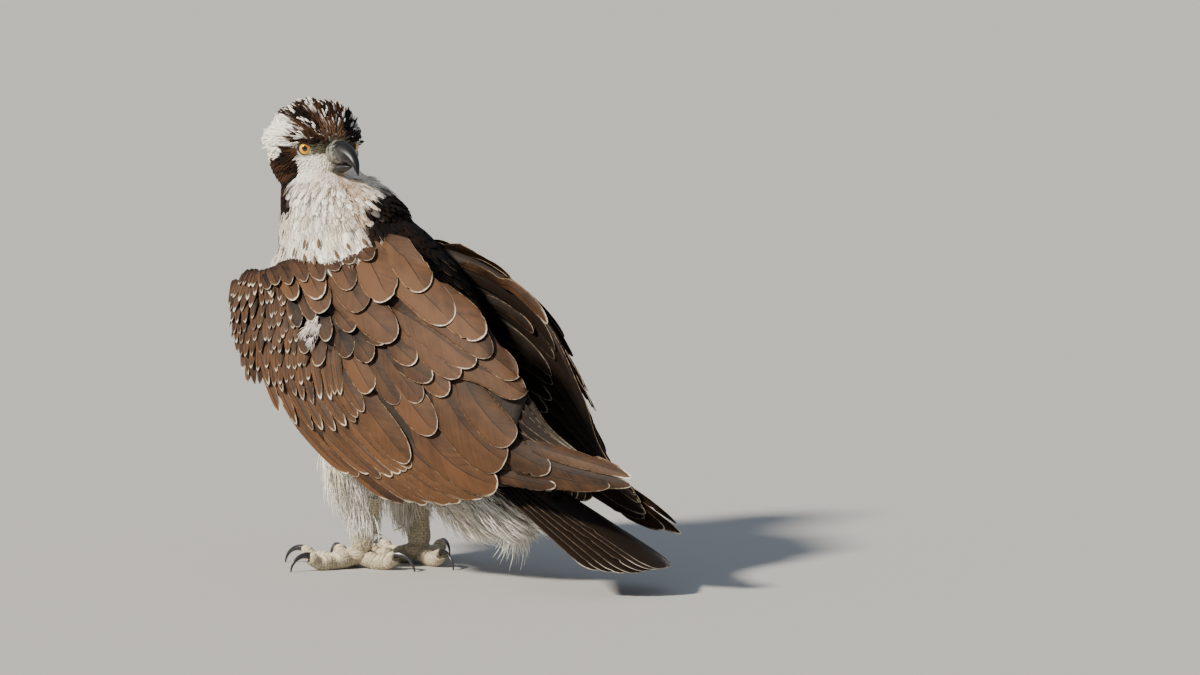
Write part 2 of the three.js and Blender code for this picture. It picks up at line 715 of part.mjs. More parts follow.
// Feathered thigh from the belly down past the heel
function makeThigh(leg) {
  const hip = vec(...leg.thigh);
  const heel = vec(...leg.heel);
  const rings = THIGH_STATIONS.map(([share, forward, inward, deep, half]) => {
    const centre = hip.clone().lerp(heel, share).add(vec(-forward, -leg.side * inward, 0));
    return ellipse(centre, vec(deep, 0, 0), vec(0, half, 0), THIGH_SIDES);
  });
  return largest(cut(loft(rings), makeTorso(GAP), tarsusTube(leg, GAP)));
}

function tarsusPath(leg) {
  const low = vec(leg.foot[0], leg.foot[1], HUB_HEIGHT + 2);
  const high = vec(...leg.heel).add(vec(HEEL_TOP.forward, 0, HEEL_TOP.up));
  return [0, 0.35, 0.7, 1].map((k) => high.clone().lerp(low, k));
}

function tarsusTube(leg, grow = 0) {
  const radii = [TARSUS_RADIUS, ANKLE_RADIUS, ANKLE_RADIUS, TARSUS_RADIUS + 0.6];
  return tube(tarsusPath(leg), radii.map((r) => r + grow), TARSUS_SIDES);
}

function footHub(leg, grow = 0) {
  const ball = new THREE.SphereGeometry(1, 12, 8);
  ball.scale(HUB_RADIUS + grow, HUB_RADIUS + grow, HUB_HEIGHT * HUB_FLAT + grow);
  ball.translate(leg.foot[0], leg.foot[1], HUB_HEIGHT);
  return solidOf(ball);
}

function makeTarsus(leg) {
  return largest(fuse([tarsusTube(leg), footHub(leg)]));
}

function toeWay(leg, toe) {
  const angle = radians(leg.turn + leg.side * toe.angle);
  return vec(-Math.cos(angle), -Math.sin(angle), 0);
}

// Toe from the foot's middle out to the claw, its pads on the floor and its end raised
function toeSolid(leg, toe, grow = 0) {
  const way = toeWay(leg, toe);
  const path = [];
  const radii = [];
  for (let r = 0; r < TOE_RINGS; r++) {
    const k = r / (TOE_RINGS - 1);
    const pads = TOE_PADS.depth * Math.cos(2 * Math.PI * TOE_PADS.count * k);
    const radius = mix(toe.root, toe.end, k) + pads;
    const rest = radius * TOE_PRESS;
    const raised = Math.max(0, (k - TOE_RAISED) / (1 - TOE_RAISED));
    const lift = (TOE_TIP_HEIGHT - toe.end) * raised ** 1.5;
    const arch = TOE_ARCH.height * Math.max(0, 1 - k / TOE_ARCH.share);
    path.push(vec(leg.foot[0], leg.foot[1], rest + lift + arch)
      .addScaledVector(way, toe.length * k));
    radii.push(radius + grow);
  }
  return tube(path, radii, TOE_SIDES, 1, 0.5);
}

function floorCut() {
  const block = new THREE.BoxGeometry(FLOOR_BLOCK, FLOOR_BLOCK, FLOOR_BLOCK);
  block.translate(0, 0, -FLOOR_BLOCK / 2);
  return solidOf(block);
}

function makeToe(leg, number) {
  const toe = TOES[number];
  const tools = [floorCut(), footHub(leg, GAP), tarsusTube(leg, GAP)];
  for (let other = 1; other < number; other++) {
    tools.push(toeSolid(leg, TOES[other], GAP));
  }
  tools.push(clawSolid(leg, toe, GAP));
  return largest(cut(toeSolid(leg, toe), ...tools));
}

// Claw: a tapering arc in the toe's upright plane, ending just over the floor
function clawSolid(leg, toe, grow = 0) {
  const way = toeWay(leg, toe);
  const start = vec(leg.foot[0], leg.foot[1], 0).addScaledVector(way, toe.length - CLAW_SUNK);
  const path = [];
  const radii = [];
  const first = radians(CLAW_START);
  for (let r = 0; r < CLAW_RINGS; r++) {
    const k = r / (CLAW_RINGS - 1);
    const angle = first - radians(CLAW_SWEEP) * k;
    const forward = toe.claw * (Math.cos(angle) - Math.cos(first));
    const up = toe.claw * (Math.sin(angle) - Math.sin(first));
    path.push(start.clone().addScaledVector(way, forward).add(vec(0, 0, TOE_TIP_HEIGHT + up)));
    radii.push(mix(CLAW_RADIUS, CLAW_TIP, k) + grow);
  }
  return tube(path, radii, CLAW_SIDES);
}

function makeClaw(leg, toe) {
  return largest(cut(clawSolid(leg, toe), floorCut()));
}

// Materials
const paint = (hex, roughness, metalness = 0) => new THREE.MeshStandardMaterial({
  color: hex, roughness, metalness,
});
const materials = {
  white: paint(0xece6da, 0.85),
  brown: paint(0x6e4a30, 0.7),
  dark: paint(0x2a211c, 0.7),
  horn: paint(0x2e2d30, 0.35),
  iris: paint(0xe3a512, 0.1),
  scale: paint(0xb9b39c, 0.6),
};

const osprey = new THREE.Group();

function add(name, solid, material) {
  const { vertProperties, triVerts } = solid.getMesh();
  const geometry = new THREE.BufferGeometry();
  geometry.setAttribute('position', new THREE.BufferAttribute(vertProperties, 3));
  geometry.setIndex(new THREE.BufferAttribute(triVerts, 1));
  geometry.computeVertexNormals();
  const mesh = new THREE.Mesh(geometry, material);
  mesh.name = name;
  osprey.add(mesh);
}

add('torso', makeTorso(), materials.white);
add('neck', largest(cut(makeNeck(), headForm(GAP), ...headInsets())), materials.white);
add('head', makeHead(), materials.white);
add('eye_left', makeEye(RIGHT), materials.iris);
add('eye_right', makeEye(LEFT), materials.iris);
add('bill_upper', makeUpperBill(), materials.horn);
add('bill_lower', makeLowerBill(), materials.horn);
add('wing_left', makeWing(LEFT), materials.brown);
add('wing_right', makeWing(RIGHT), materials.dark);
add('tail', makeTail(), materials.dark);
for (const [name, leg] of Object.entries(LEGS)) {
  add(`thigh_${name}`, makeThigh(leg), materials.white);
  add(`tarsus_${name}`, makeTarsus(leg), materials.scale);
  for (const number of Object.keys(TOES)) {
    add(`toe_${name}_${number}`, makeToe(leg, Number(number)), materials.scale);
    add(`claw_${name}_${number}`, makeClaw(leg, TOES[number]), materials.horn);
  }
}

// The middle of the model's outline on the floor is the origin
const middle = new THREE.Box3().setFromObject(osprey).getCenter(vec(0, 0, 0));
osprey.position.set(-middle.x, -middle.y, 0);

export default osprey;
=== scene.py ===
# Osprey, life size, standing with folded wings and its head turned back over its left shoulder
import math

import bpy
import numpy as np
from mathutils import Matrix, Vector


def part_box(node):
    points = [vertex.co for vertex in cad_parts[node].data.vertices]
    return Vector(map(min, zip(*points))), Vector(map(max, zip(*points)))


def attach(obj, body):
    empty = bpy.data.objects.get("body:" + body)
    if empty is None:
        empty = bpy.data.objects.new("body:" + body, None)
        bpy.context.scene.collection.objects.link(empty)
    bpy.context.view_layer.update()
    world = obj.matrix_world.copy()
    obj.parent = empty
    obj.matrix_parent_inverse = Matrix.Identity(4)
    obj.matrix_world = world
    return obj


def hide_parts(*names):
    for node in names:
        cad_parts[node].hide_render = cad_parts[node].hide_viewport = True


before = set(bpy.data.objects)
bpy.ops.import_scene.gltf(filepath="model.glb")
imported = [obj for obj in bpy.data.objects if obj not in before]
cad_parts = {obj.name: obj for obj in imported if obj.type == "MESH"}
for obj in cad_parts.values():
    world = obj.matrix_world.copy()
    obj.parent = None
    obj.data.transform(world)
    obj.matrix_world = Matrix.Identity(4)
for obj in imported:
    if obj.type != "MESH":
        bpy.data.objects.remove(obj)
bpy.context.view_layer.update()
print("frame loaded,", len(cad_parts), "nodes")

# Forms are worked out in millimetres, with the bird's own origin between its feet.
# -X is the way the breast faces, -Y is the bird's left, +Z is up.
mm = 0.001
left, right = -1, 1
xAxis, yAxis, zAxis = np.eye(3)
hashPrimes = np.array([73856093, 19349663, 83492791])
hashTurn = 1274126177


def unit(v):
    return v / np.maximum(np.linalg.norm(v, axis=-1, keepdims=True), 1e-9)


def dot(a, b):
    return (a * b).sum(-1, keepdims=True)


def ramp(x, low, high):  # smooth step from 0 to 1
    k = np.clip((x - low) / (high - low), 0, 1)
    return k * k * (3 - 2 * k)


def mixed(a, b, k):
    return a + (b - a) * k


def fullTurn(count):  # angles evenly round a circle
    return np.arange(count) * 2 * np.pi / count


def through(rows, u):  # smooth curve through rows of numbers, u from 0 to 1
    rows = np.asarray(rows, float)
    last = len(rows) - 1
    at = np.atleast_1d(u).astype(float) * last
    i = np.clip(np.floor(at).astype(int), 0, last - 1)
    k = (at - i)[:, None]
    p0, p1, p2, p3 = (rows[np.clip(i + n, 0, last)] for n in (-1, 0, 1, 2))
    slope1 = (p2 - p0) / np.where(i == 0, 1, 2)[:, None]
    slope2 = (p3 - p1) / np.where(i == last - 1, 1, 2)[:, None]
    bent = ((2 * k**3 - 3 * k**2 + 1) * p1 + (k**3 - 2 * k**2 + k) * slope1
            + (3 * k**2 - 2 * k**3) * p2 + (k**3 - k**2) * slope2)
    return np.where((k < 0) | (k > 1), mixed(p1, p2, k), bent)


def evenly(rows, count):  # the same curve at even steps
    return through(rows, np.linspace(0, 1, count))


def scrambled(code, bits):  # whole numbers made to look random
    return ((code ^ (code >> bits)) * hashTurn) & 0x7FFFFFFF


def patches(points, size, seed=0):  # smooth random value from 0 to 1 in space
    q = np.asarray(points, float) / size
    cell = np.floor(q).astype(np.int64)
    part = q - cell
    part = part * part * (3 - 2 * part)
    total = np.zeros(q.shape[:-1])
    for corner in range(8):
        step = np.array([corner & 1, corner >> 1 & 1, corner >> 2 & 1])
        code = scrambled(((cell + step) * hashPrimes).sum(-1) + seed * 7919, 13)
        total += (code % 65536) / 65536 * np.prod(np.where(step, part, 1 - part), axis=-1)
    return total


def wayTo(turn, rise):  # degrees round from the bird's left towards its tail, and up
    turn, rise = math.radians(turn), math.radians(rise)
    return np.array([math.sin(turn) * math.cos(rise), -math.cos(turn) * math.cos(rise), math.sin(rise)])


def levelWay(turn):  # level, and square to that way
    return np.array([math.cos(math.radians(turn)), math.sin(math.radians(turn)), 0])


def inAxes(centre, axes, places):  # points from their places along three axes
    a, b, c = (np.asarray(v, float)[..., None] for v in places)
    return centre + axes[0] * a + axes[1] * b + axes[2] * c


# Head axes. The head is turned so far back that its own left side is on the bird's right
head = {"centre": (-65, -4.5, 337.5), "turn": 73, "nod": 6, "power": 0.88}
headRight, headLeft = -1, 1
headForward = wayTo(head["turn"], head["nod"])
headSide = levelWay(head["turn"])
headUp = np.cross(headForward, headSide)
headCentre = np.array(head["centre"])


def inHead(forward, side, up):
    return inAxes(headCentre, (headForward, headSide, headUp), (forward, side, up))


def headPlace(points):  # forward, side and up of points in the head's own axes
    q = points - headCentre
    return q @ headForward, q @ headSide, q @ headUp


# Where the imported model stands: its eye against the eye's place here
eye = {"radius": 7, "forward": 16.9, "side": 20.7, "up": 3.5, "outward": 40, "farOutward": 56,
       "lidRing": 5.9, "cornea": 0.05, "corneaEdge": (0.2, 0.85), "rings": 60, "sides": 64}


def eyeCentre(side):
    return inHead(eye["forward"], side * eye["side"], eye["up"])


low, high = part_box("eye_right")
shift = np.array((low + high) / 2) / mm - eyeCentre(headRight)


def addObject(name, data):
    piece = bpy.data.objects.new(name, data)
    bpy.context.scene.collection.objects.link(piece)
    return piece


def faceFrom(piece, way):  # turns a camera or a light so that it looks against the given way
    piece.rotation_mode = "QUATERNION"
    piece.rotation_quaternion = Vector(way).to_track_quat("Z", "Y")


# Camera
shot = {"azimuth": 42, "elevation": 6, "aimRight": 181, "aimUp": 187, "distance": 8000, "lens": 291,
        "sensor": 36, "clip": 100}


def makeCamera():
    across = levelWay(shot["azimuth"])
    back = wayTo(shot["azimuth"], shot["elevation"])
    aim = across * shot["aimRight"] + np.cross(back, across) * shot["aimUp"] + shift
    camera = addObject("camera", bpy.data.cameras.new("camera"))
    camera.data.lens = shot["lens"]
    camera.data.sensor_width = shot["sensor"]
    camera.data.clip_end = shot["clip"]
    camera.location = (aim + back * shot["distance"]) * mm
    faceFrom(camera, back)
    bpy.context.scene.camera = camera


makeCamera()
print("camera placed")


# Meshes
def addPaint(mesh, paint):
    layer = mesh.attributes.new("paint", "FLOAT_COLOR", "POINT")
    rgba = np.concatenate([paint, np.ones((len(paint), 1))], axis=1)
    layer.data.foreach_set("color", rgba.astype(np.float32).ravel())


def addMesh(name, points, quads, tris=None, values=None, paint=None, atlas=None):
    mesh = bpy.data.meshes.new(name)
    quads = np.asarray(quads)
    tris = np.zeros((0, 3), int) if tris is None else np.asarray(tris)
    corners = np.concatenate([quads.ravel(), tris.ravel()]).astype(np.int32)
    starts = np.concatenate([np.arange(len(quads)) * 4, len(quads) * 4 + np.arange(len(tris)) * 3])
    mesh.vertices.add(len(points))
    mesh.vertices.foreach_set("co", ((points + shift) * mm).astype(np.float32).ravel())
    mesh.loops.add(len(corners))
    mesh.loops.foreach_set("vertex_index", corners)
    mesh.polygons.add(len(starts))
    mesh.polygons.foreach_set("loop_start", starts.astype(np.int32))
    mesh.update(calc_edges=True)
    mesh.polygons.foreach_set("use_smooth", np.full(len(starts), True))
    for key, value in (values or {}).items():
        layer = mesh.attributes.new(key, "FLOAT", "POINT")
        layer.data.foreach_set("value", np.asarray(value, np.float32).ravel())
    if paint is not None:
        addPaint(mesh, paint)
    if atlas is not None:
        layer = mesh.uv_layers.new(name="OFBake")
        layer.data.foreach_set("uv", atlas[corners].astype(np.float32).ravel())
    return addObject(name, mesh)


def settle(piece, finish, slot, *nodes):  # gives a piece its material and body
    piece.data.materials.clear()
    piece.data.materials.append(finish)
    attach(piece, "root")
    if nodes:
        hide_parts(*nodes)
    return piece


def loftFaces(rings, sides):  # walls of a closed tube and the fans over its ends
    r, i = np.meshgrid(np.arange(rings - 1), np.arange(sides), indexing="ij")
    j = (i + 1) % sides
    a, b = r * sides + i, r * sides + j
    quads = np.stack([a, b, b + sides, a + sides], -1).reshape(-1, 4)
    ends = rings * sides
    i = np.arange(sides)
    j = (i + 1) % sides
    first = np.stack([j, i, np.full(sides, ends)], -1)
    last = np.stack([i, j, np.full(sides, 0)], -1) + (rings - 1) * sides
    last[:, 2] = ends + 1
    return quads, np.concatenate([first, last])


def loft(rings):  # rings (rings, sides, 3), turning so that the faces point out
    count, sides = rings.shape[:2]
    points = np.concatenate([rings.reshape(-1, 3), rings[:1].mean(1), rings[-1:].mean(1)])
    quads, tris = loftFaces(count, sides)
    fans = np.concatenate([quads[:, [0, 1, 2]], quads[:, [0, 2, 3]], tris])
    a, b, c = (points[fans[:, n]] for n in range(3))
    if dot(a, np.cross(b, c)).sum() < 0:
        quads, tris = quads[:, ::-1], tris[:, ::-1]
    return points, quads, tris


def endPadded(values, first, last):  # values of a loft's rings, with its two end points
    return np.concatenate([values.ravel(), [first, last]])


def ellipse(centre, halfA, halfB, sides, power=1.0):  # rings (n, sides, 3)
    angle = fullTurn(sides)
    bend = lambda v: (np.sign(v) * np.abs(v) ** power)[None, :, None]
    return centre[:, None] + halfA[:, None] * bend(np.cos(angle)) + halfB[:, None] * bend(np.sin(angle))


def tubeRings(path, wide, tall, sides):  # rings round a path, flat axis level
    along = unit(np.gradient(path, axis=0))
    across = unit(np.cross(zAxis, along))
    over = np.cross(along, across)
    return ellipse(path, across * wide[:, None], over * tall[:, None], sides)


def plateFaces(rows, cols, count):  # closed thin plates, top grid first, then the under grid
    r, c = np.meshgrid(np.arange(rows - 1), np.arange(cols - 1), indexing="ij")
    a = (r * cols + c).ravel()
    top = np.stack([a, a + cols, a + cols + 1, a + 1], -1)
    under = top[:, ::-1] + rows * cols
    r = np.arange(rows - 1) * cols
    n = rows * cols
    edgeA = np.stack([r, r + n, r + n + cols, r + cols], -1)
    b = r + cols - 1
    edgeB = np.stack([b, b + cols, b + cols + n, b + n], -1)
    c = np.arange(cols - 1)
    rootEnd = np.stack([c, c + 1, c + 1 + n, c + n], -1)
    tipEnd = rootEnd[:, ::-1] + (rows - 1) * cols
    one = np.concatenate([top, under, edgeA, edgeB, rootEnd, tipEnd])
    return (one[None] + (np.arange(count) * 2 * n)[:, None, None]).reshape(-1, 4)


# Shader wires: maths on values is written as plain expressions
class Wire:
    def __init__(self, finish, socket):
        self.finish = finish
        self.socket = socket

    def maths(self, operation, *others):
        return self.finish.maths(operation, self, *others)

    def __add__(self, other):
        return self.maths("ADD", other)

    def __sub__(self, other):
        return self.maths("SUBTRACT", other)

    def __rsub__(self, other):
        return self.finish.maths("SUBTRACT", other, self)

    def __mul__(self, other):
        return self.maths("MULTIPLY", other)

    def __truediv__(self, other):
        return self.maths("DIVIDE", other)

    def __rtruediv__(self, other):
        return self.finish.maths("DIVIDE", other, self)

    __radd__ = __add__
    __rmul__ = __mul__

    def size(self):
        return self.maths("ABSOLUTE")

    def held(self):  # kept from 0 to 1
        return self.maths("MAXIMUM", 0).maths("MINIMUM", 1)

    def step(self, low, high):  # smooth step between two values
        settings = {"interpolation_type": "SMOOTHSTEP"}
        return self.finish.node("MapRange", settings, {0: self, 1: low, 2: high})


class Finish:
    def __init__(self, name, **constants):
        self.material = bpy.data.materials.new(name)
        self.material.use_nodes = True
        self.tree = self.material.node_tree
        self.shader = self.tree.nodes["Principled BSDF"]
        self.feed(**constants)

    def put(self, socket, value):
        if isinstance(value, Wire):
            self.tree.links.new(value.socket, socket)
        elif hasattr(value, "__len__") and len(value) == 3 and len(socket.default_value) == 4:
            socket.default_value = (*value, 1)
        else:
            socket.default_value = value

    def node(self, kind, settings=None, sockets=None, output=0):
        made = self.tree.nodes.new("ShaderNode" + kind)
        for key, value in (settings or {}).items():
            setattr(made, key, value)
        for key, value in (sockets or {}).items():
            self.put(made.inputs[key], value)
        return Wire(self, made.outputs[output])

    def maths(self, operation, *values):
        return self.node("Math", {"operation": operation}, dict(enumerate(values)))

    def values(self, *names):
        return [self.node("Attribute", {"attribute_name": name}, output="Fac") for name in names]

    def paint(self):
        return self.node("Attribute", {"attribute_name": "paint"}, output="Color")

    def blend(self, factor, a, b, way="MIX"):
        settings = {"data_type": "RGBA", "blend_type": way}
        return self.node("Mix", settings, {0: factor, 6: a, 7: b}, output=2)

    def shaded(self, colour, shade):  # colour times a value
        return self.blend(1.0, colour, self.vector(shade, shade, shade), "MULTIPLY")

    def vector(self, x, y, z):
        return self.node("CombineXYZ", None, {0: x, 1: y, 2: z})

    def noise(self, vector, scale, detail=2, rough=0.5):
        sockets = {"Vector": vector, "Scale": scale, "Detail": detail, "Roughness": rough}
        return self.node("TexNoise", None, sockets)

    def grain(self, scale, detail=3, rough=0.6):  # noise that stays with the piece
        return self.noise(self.node("TexCoord", output="Object"), scale, detail, rough)

    def bump(self, height, depth, strength):
        return self.node("Bump", None, {"Height": height, "Distance": depth, "Strength": strength})

    def feed(self, **sockets):
        for key, value in sockets.items():
            self.put(self.shader.inputs[key.replace("_", " ")], value)
        return self.material


# Flesh: the torso, neck, head and thighs as one skin that lies under the coat
flesh = {
    "coat": 4.0, "neckShare": 0.8, "headCoat": 1.4, "browCoat": 0.6, "voxel": 2.2, "smooth": 6,
    "softness": 0.6, "power": 0.94, "sides": 40, "thighSides": 28,
    # along the tail, height over its line, half height and half width of the tail's root
    "tailRoot": [[-30, -2, 16, 22], [58, -6, 3, 14]],
    # breast x, z, back x, z, half width
    "torso": [[-98, 262, 18, 292, 46], [-102, 234, 52, 268, 54], [-86, 198, 82, 240, 56],
              [-58, 160, 106, 206, 54], [-30, 124, 124, 170, 49], [4, 92, 138, 142, 42],
              [50, 66, 146, 124, 34], [98, 46, 152, 112, 27], [142, 40, 160, 104, 19]],
    # centre x, y, z, half depth, half width
    "neck": [[-39, 0, 277, 60.8, 46], [-44, -1, 293, 55, 44], [-54, -3, 311, 43, 39],
             [-66, -4, 326, 32, 31], [-68, -4, 340, 18, 20]],
    # forward, middle height, half width, half height
    "head": [[-41, 1, 14, 14], [-36, 2, 25.5, 26], [-25, 3.5, 33.5, 34], [-11, 4, 36.8, 37],
             [4, 4, 35.3, 36], [15, 2.5, 30.2, 31.5], [24, 0, 22, 24.5], [32, -2, 14, 17]],
    # forward, out, up, radius of the brow over each eye
    "brow": [[33, 9, 9.5, 2], [28, 17.5, 10.6, 3.4], [22, 24.5, 12.2, 4.2], [12, 30.5, 14.4, 4.2],
             [1, 34.5, 16, 2.4]],
    # share from hip to heel, forward, inward, half depth, half width
    "thigh": [[-0.95, 20, 26, 14, 10], [-0.55, 16, 14, 30, 22], [-0.1, 12, 4, 35, 27],
              [0.4, 14, 0, 29, 26], [0.8, 15, 0, 21, 20], [1.15, 10, 0, 14, 14], [1.35, 8, 0, 9, 9]],
}
legs = {
    "left": {"side": left, "foot": (2, -28), "thigh": (18, -34, 112), "heel": (17, -30, 54),
             "turn": 8},
    "right": {"side": right, "foot": (19, 25), "thigh": (24, 32, 112), "heel": (20, 27, 54),
              "turn": -10},
}


def torsoRings(count, shrink):
    rows = evenly(flesh["torso"], count)
    zero = np.zeros(count)
    breast = np.stack([rows[:, 0], zero, rows[:, 1]], -1)
    back = np.stack([rows[:, 2], zero, rows[:, 3]], -1)
    centre = (breast + back) / 2
    deep = back - centre
    size = np.linalg.norm(deep, axis=-1, keepdims=True)
    deep = deep * np.maximum(size - shrink, size * 0.3) / size
    wide = np.stack([zero, np.maximum(rows[:, 4] - shrink, 4), zero], -1)
    return ellipse(centre, deep, wide, flesh["sides"], flesh["power"])


def neckRings(count, shrink):
    rows = evenly(flesh["neck"], count)
    bx, bz, dx, dz = flesh["torso"][0][:4]
    axis = unit(np.array([-(dz - bz), 0, dx - bx], float))
    k = np.linspace(0, 1, count)[:, None]
    lean = unit(mixed(axis, zAxis, np.minimum(1, k * 5 / 3)))
    zero = np.zeros(count)
    deep = np.stack([lean[:, 2], zero, -lean[:, 0]], -1) * np.maximum(rows[:, 3:4] - shrink, 3)
    wide = np.stack([zero, np.maximum(rows[:, 4] - shrink, 3), zero], -1)
    return ellipse(rows[:, :3], deep, wide, flesh["sides"], flesh["power"])


def headRings(count, shrink):
    rows = evenly(flesh["head"], count)
    wide = headSide * (rows[:, 2:3] - shrink)
    tall = headUp * (rows[:, 3:4] - shrink)
    centre = inHead(rows[:, 0], 0 * rows[:, 0], rows[:, 1])
    return ellipse(centre, wide, tall, flesh["sides"], head["power"])


def thighRings(leg, shrink):
    rows = evenly(flesh["thigh"], 16)
    hip, heel = np.array(leg["thigh"], float), np.array(leg["heel"], float)
    centre = hip + (heel - hip) * rows[:, 0:1]
    centre = centre + np.stack([-rows[:, 1], -leg["side"] * rows[:, 2], 0 * rows[:, 1]], -1)
    deep = xAxis * np.maximum(rows[:, 3:4] - shrink, 5)
    wide = yAxis * np.maximum(rows[:, 4:5] - shrink, 5)
    return ellipse(centre, deep, wide, flesh["thighSides"])


def browRings(side, shrink):
    rows = evenly(flesh["brow"], 14)
    path = inHead(rows[:, 0], side * rows[:, 1], rows[:, 2])
    return tubeRings(path, rows[:, 3] - shrink, (rows[:, 3] - shrink) * 0.75, 12)


def tailRootRings():
    along, over, tall, wide = evenly(flesh["tailRoot"], 10).T
    centre = inAxes(tailRoot, (tailAlong, yAxis, tailOver), (along, 0 * along, over))
    return ellipse(centre, tailOver * tall[:, None], yAxis * wide[:, None], 24)


# Tail axes: along the tail and square to its upper side
tail = {"root": (134, 0, 92), "tip": (306, 0, 19), "feathers": 12, "fan": 9, "half": 13.5, "spread": 15,
        "roof": 9.5, "roofRoot": 5, "round": 0.17, "lean": 0.06, "step": 0.45, "lift": 4.5, "sway": 0.8,
        "camber": 0.8, "thick": 0.4, "thin": 0.25, "shaft": 0.6, "shaftHalf": 0.8}
tailRoot = np.array(tail["root"], float)
tailLength = float(np.linalg.norm(tail["tip"] - tailRoot))
tailAlong = unit(tail["tip"] - tailRoot)
tailOver = np.array([-tailAlong[2], 0, tailAlong[0]])


def makeSkin():
    coat = flesh["coat"]
    parts = [torsoRings(40, coat), neckRings(24, coat * flesh["neckShare"]),
             headRings(30, flesh["headCoat"]), *(thighRings(leg, coat) for leg in legs.values()),
             tailRootRings(), *(browRings(side, flesh["browCoat"]) for side in (headRight, headLeft))]
    points, quads, tris = [], [], []
    count = 0
    for rings in parts:
        p, q, t = loft(rings)
        points.append(p)
        quads.append(q + count)
        tris.append(t + count)
        count += len(p)
    rough = addMesh("rough", np.concatenate(points), np.concatenate(quads), np.concatenate(tris))
    remesh = rough.modifiers.new("remesh", "REMESH")
    remesh.mode = "VOXEL"
    remesh.voxel_size = flesh["voxel"] * mm
    soft = rough.modifiers.new("soft", "SMOOTH")
    soft.factor = flesh["softness"]
    soft.iterations = flesh["smooth"]
    bpy.context.view_layer.update()
    made = rough.evaluated_get(bpy.context.evaluated_depsgraph_get())
    mesh = bpy.data.meshes.new_from_object(made)
    bpy.data.objects.remove(rough)
    return addObject("skin", mesh)


def meshArrays(piece):  # points in the bird's own millimetres, with normals and triangles
    mesh = piece.data
    points = np.zeros(len(mesh.vertices) * 3)
    mesh.vertices.foreach_get("co", points)
    normals = np.zeros(len(mesh.vertices) * 3, np.float32)
    mesh.vertex_normals.foreach_get("vector", normals)
    mesh.calc_loop_triangles()
    tris = np.zeros(len(mesh.loop_triangles) * 3, np.int32)
    mesh.loop_triangles.foreach_get("vertices", tris)
    return points.reshape(-1, 3) / mm - shift, normals.reshape(-1, 3).astype(float), tris.reshape(-1, 3)


skin = makeSkin()
skinPoints, skinNormals, skinTris = meshArrays(skin)
print("skin made,", len(skinPoints), "points")

# Markings
tones = {
    "white": (0.96, 0.91, 0.83), "dark": (0.004, 0.0026, 0.0022), "brown": (0.066, 0.029, 0.013),
    "lore": (0.085, 0.078, 0.052), "tan": (0.46, 0.30, 0.17), "brow": (0.16, 0.09, 0.055),
    "creamShare": (0.98, 0.9, 0.76),
}
tones = {key: np.array(value) for key, value in tones.items()}
# Where one part of the coat passes into the next, in millimetres
edges = {"headUp": (-31, -17), "headLean": 0.12, "neckUp": (236, 262), "neckLie": (240, 285),
         "backLie": (-60, 0), "chinLie": (-6, 20), "tailLie": (70, 110), "thighUp": (92, 125),
         "thighOut": (30, 42), "thighForward": 12, "faceForward": (22, 26)}
# Sizes and strengths of the patches and streaks in the white and the dark coat
stains = {"cream": 0.5, "creamSize": 14, "creamFrom": (0.35, 0.8), "throat": 0.8, "throatStreak": 2.4,
          "throatFrom": (0.3, 0.55), "throatHalf": 17, "throatForward": (-12, 8), "throatTop": (8, 18),
          "throatEnd": (52, 76), "warm": 0.75, "warmStreak": 6, "warmFrom": (0.3, 0.7), "warmLeast": 0.3,
          "loreUp": 2.5, "loreHalf": (3.5, 6), "front": 0.7, "frontUp": (6, 10), "frontHalf": (7, 11)}
# Where the neck is white: height, then the angles where the white starts and ends,
# in degrees round the neck from the bird's left towards its tail
neckWhite = np.array([[262, -165, 54], [277, -165, 60], [285, -165, 63], [291, -60, 66], [297, -5, 73],
                      [311, -1, 95], [325, 5, 135], [335, 8, 190]], float)
# Dark marks on each side of the head: forward, then the heights of the brow line, of the
# eye stripe's upper edge and of its lower edge
stripeRows = np.array([[-40, 30, 0, -60], [-16, 26, -3, -55], [0, 20, -1, -44], [6, 17.6, 4, -31],
                     [10, 15.9, 8, -23], [14, 14.3, 7, -16], [18, 12.6, 0, -9], [34, 6, -30, -6]], float)


def headShare(points):  # 1 on the head, 0 on the neck
    forward, _, up = headPlace(points)
    return ramp(up + edges["headLean"] * forward, *edges["headUp"])


def fanStreaks(points, wide, seed):  # narrow streaks that run back from the bill
    forward, side, up = headPlace(points)
    angle = np.degrees(np.arctan2(side, up + 8))
    return patches(np.stack([angle / wide, forward * 0.05, 0 * forward], -1), 1.0, seed)


# Dark cap and the streaked band beside it, in degrees from the crown's middle to the side
cap = {"edge": 25, "lean": 0.3, "ragged": 12, "soft": (-4, 4), "streak": 1.3, "pale": 0.85,
       "paleFrom": (0.72, 0.78), "bandForward": (-35, -10, 8, 18, 30), "bandEnd": (40, 44, 50, 58, 78),
       "bandRagged": 10, "bandDark": (0.27, 0.33)}


def darkCap(points, wobble):  # share of black on the crown and in the band
    forward, side, up = headPlace(points)
    angle = np.degrees(np.arctan2(np.abs(side), up - 2))
    past = angle - (cap["edge"] - cap["lean"] * forward + cap["ragged"] * wobble)
    end = np.interp(forward, cap["bandForward"], cap["bandEnd"])
    band = ramp(past, -6, 2) * (1 - ramp(angle - end + cap["bandRagged"] * wobble, -6, 3))
    band = band * ramp(fanStreaks(points, cap["streak"], 5), *cap["bandDark"])
    pale = cap["pale"] * ramp(fanStreaks(points, cap["streak"], 9), *cap["paleFrom"])
    return np.maximum((1 - ramp(past, *cap["soft"])) * (1 - pale), band)


# How far the edges of the eye stripe and the brow line run and fade
stripe = {"ragged": 4, "upper": (-1, 2), "lower": (-1, 2.5), "out": (9, 13), "end": (15, 18.5),
          "browRagged": 2, "browHalf": (2.4, 3.6), "browForward": (12, 17), "browOut": (5, 8)}


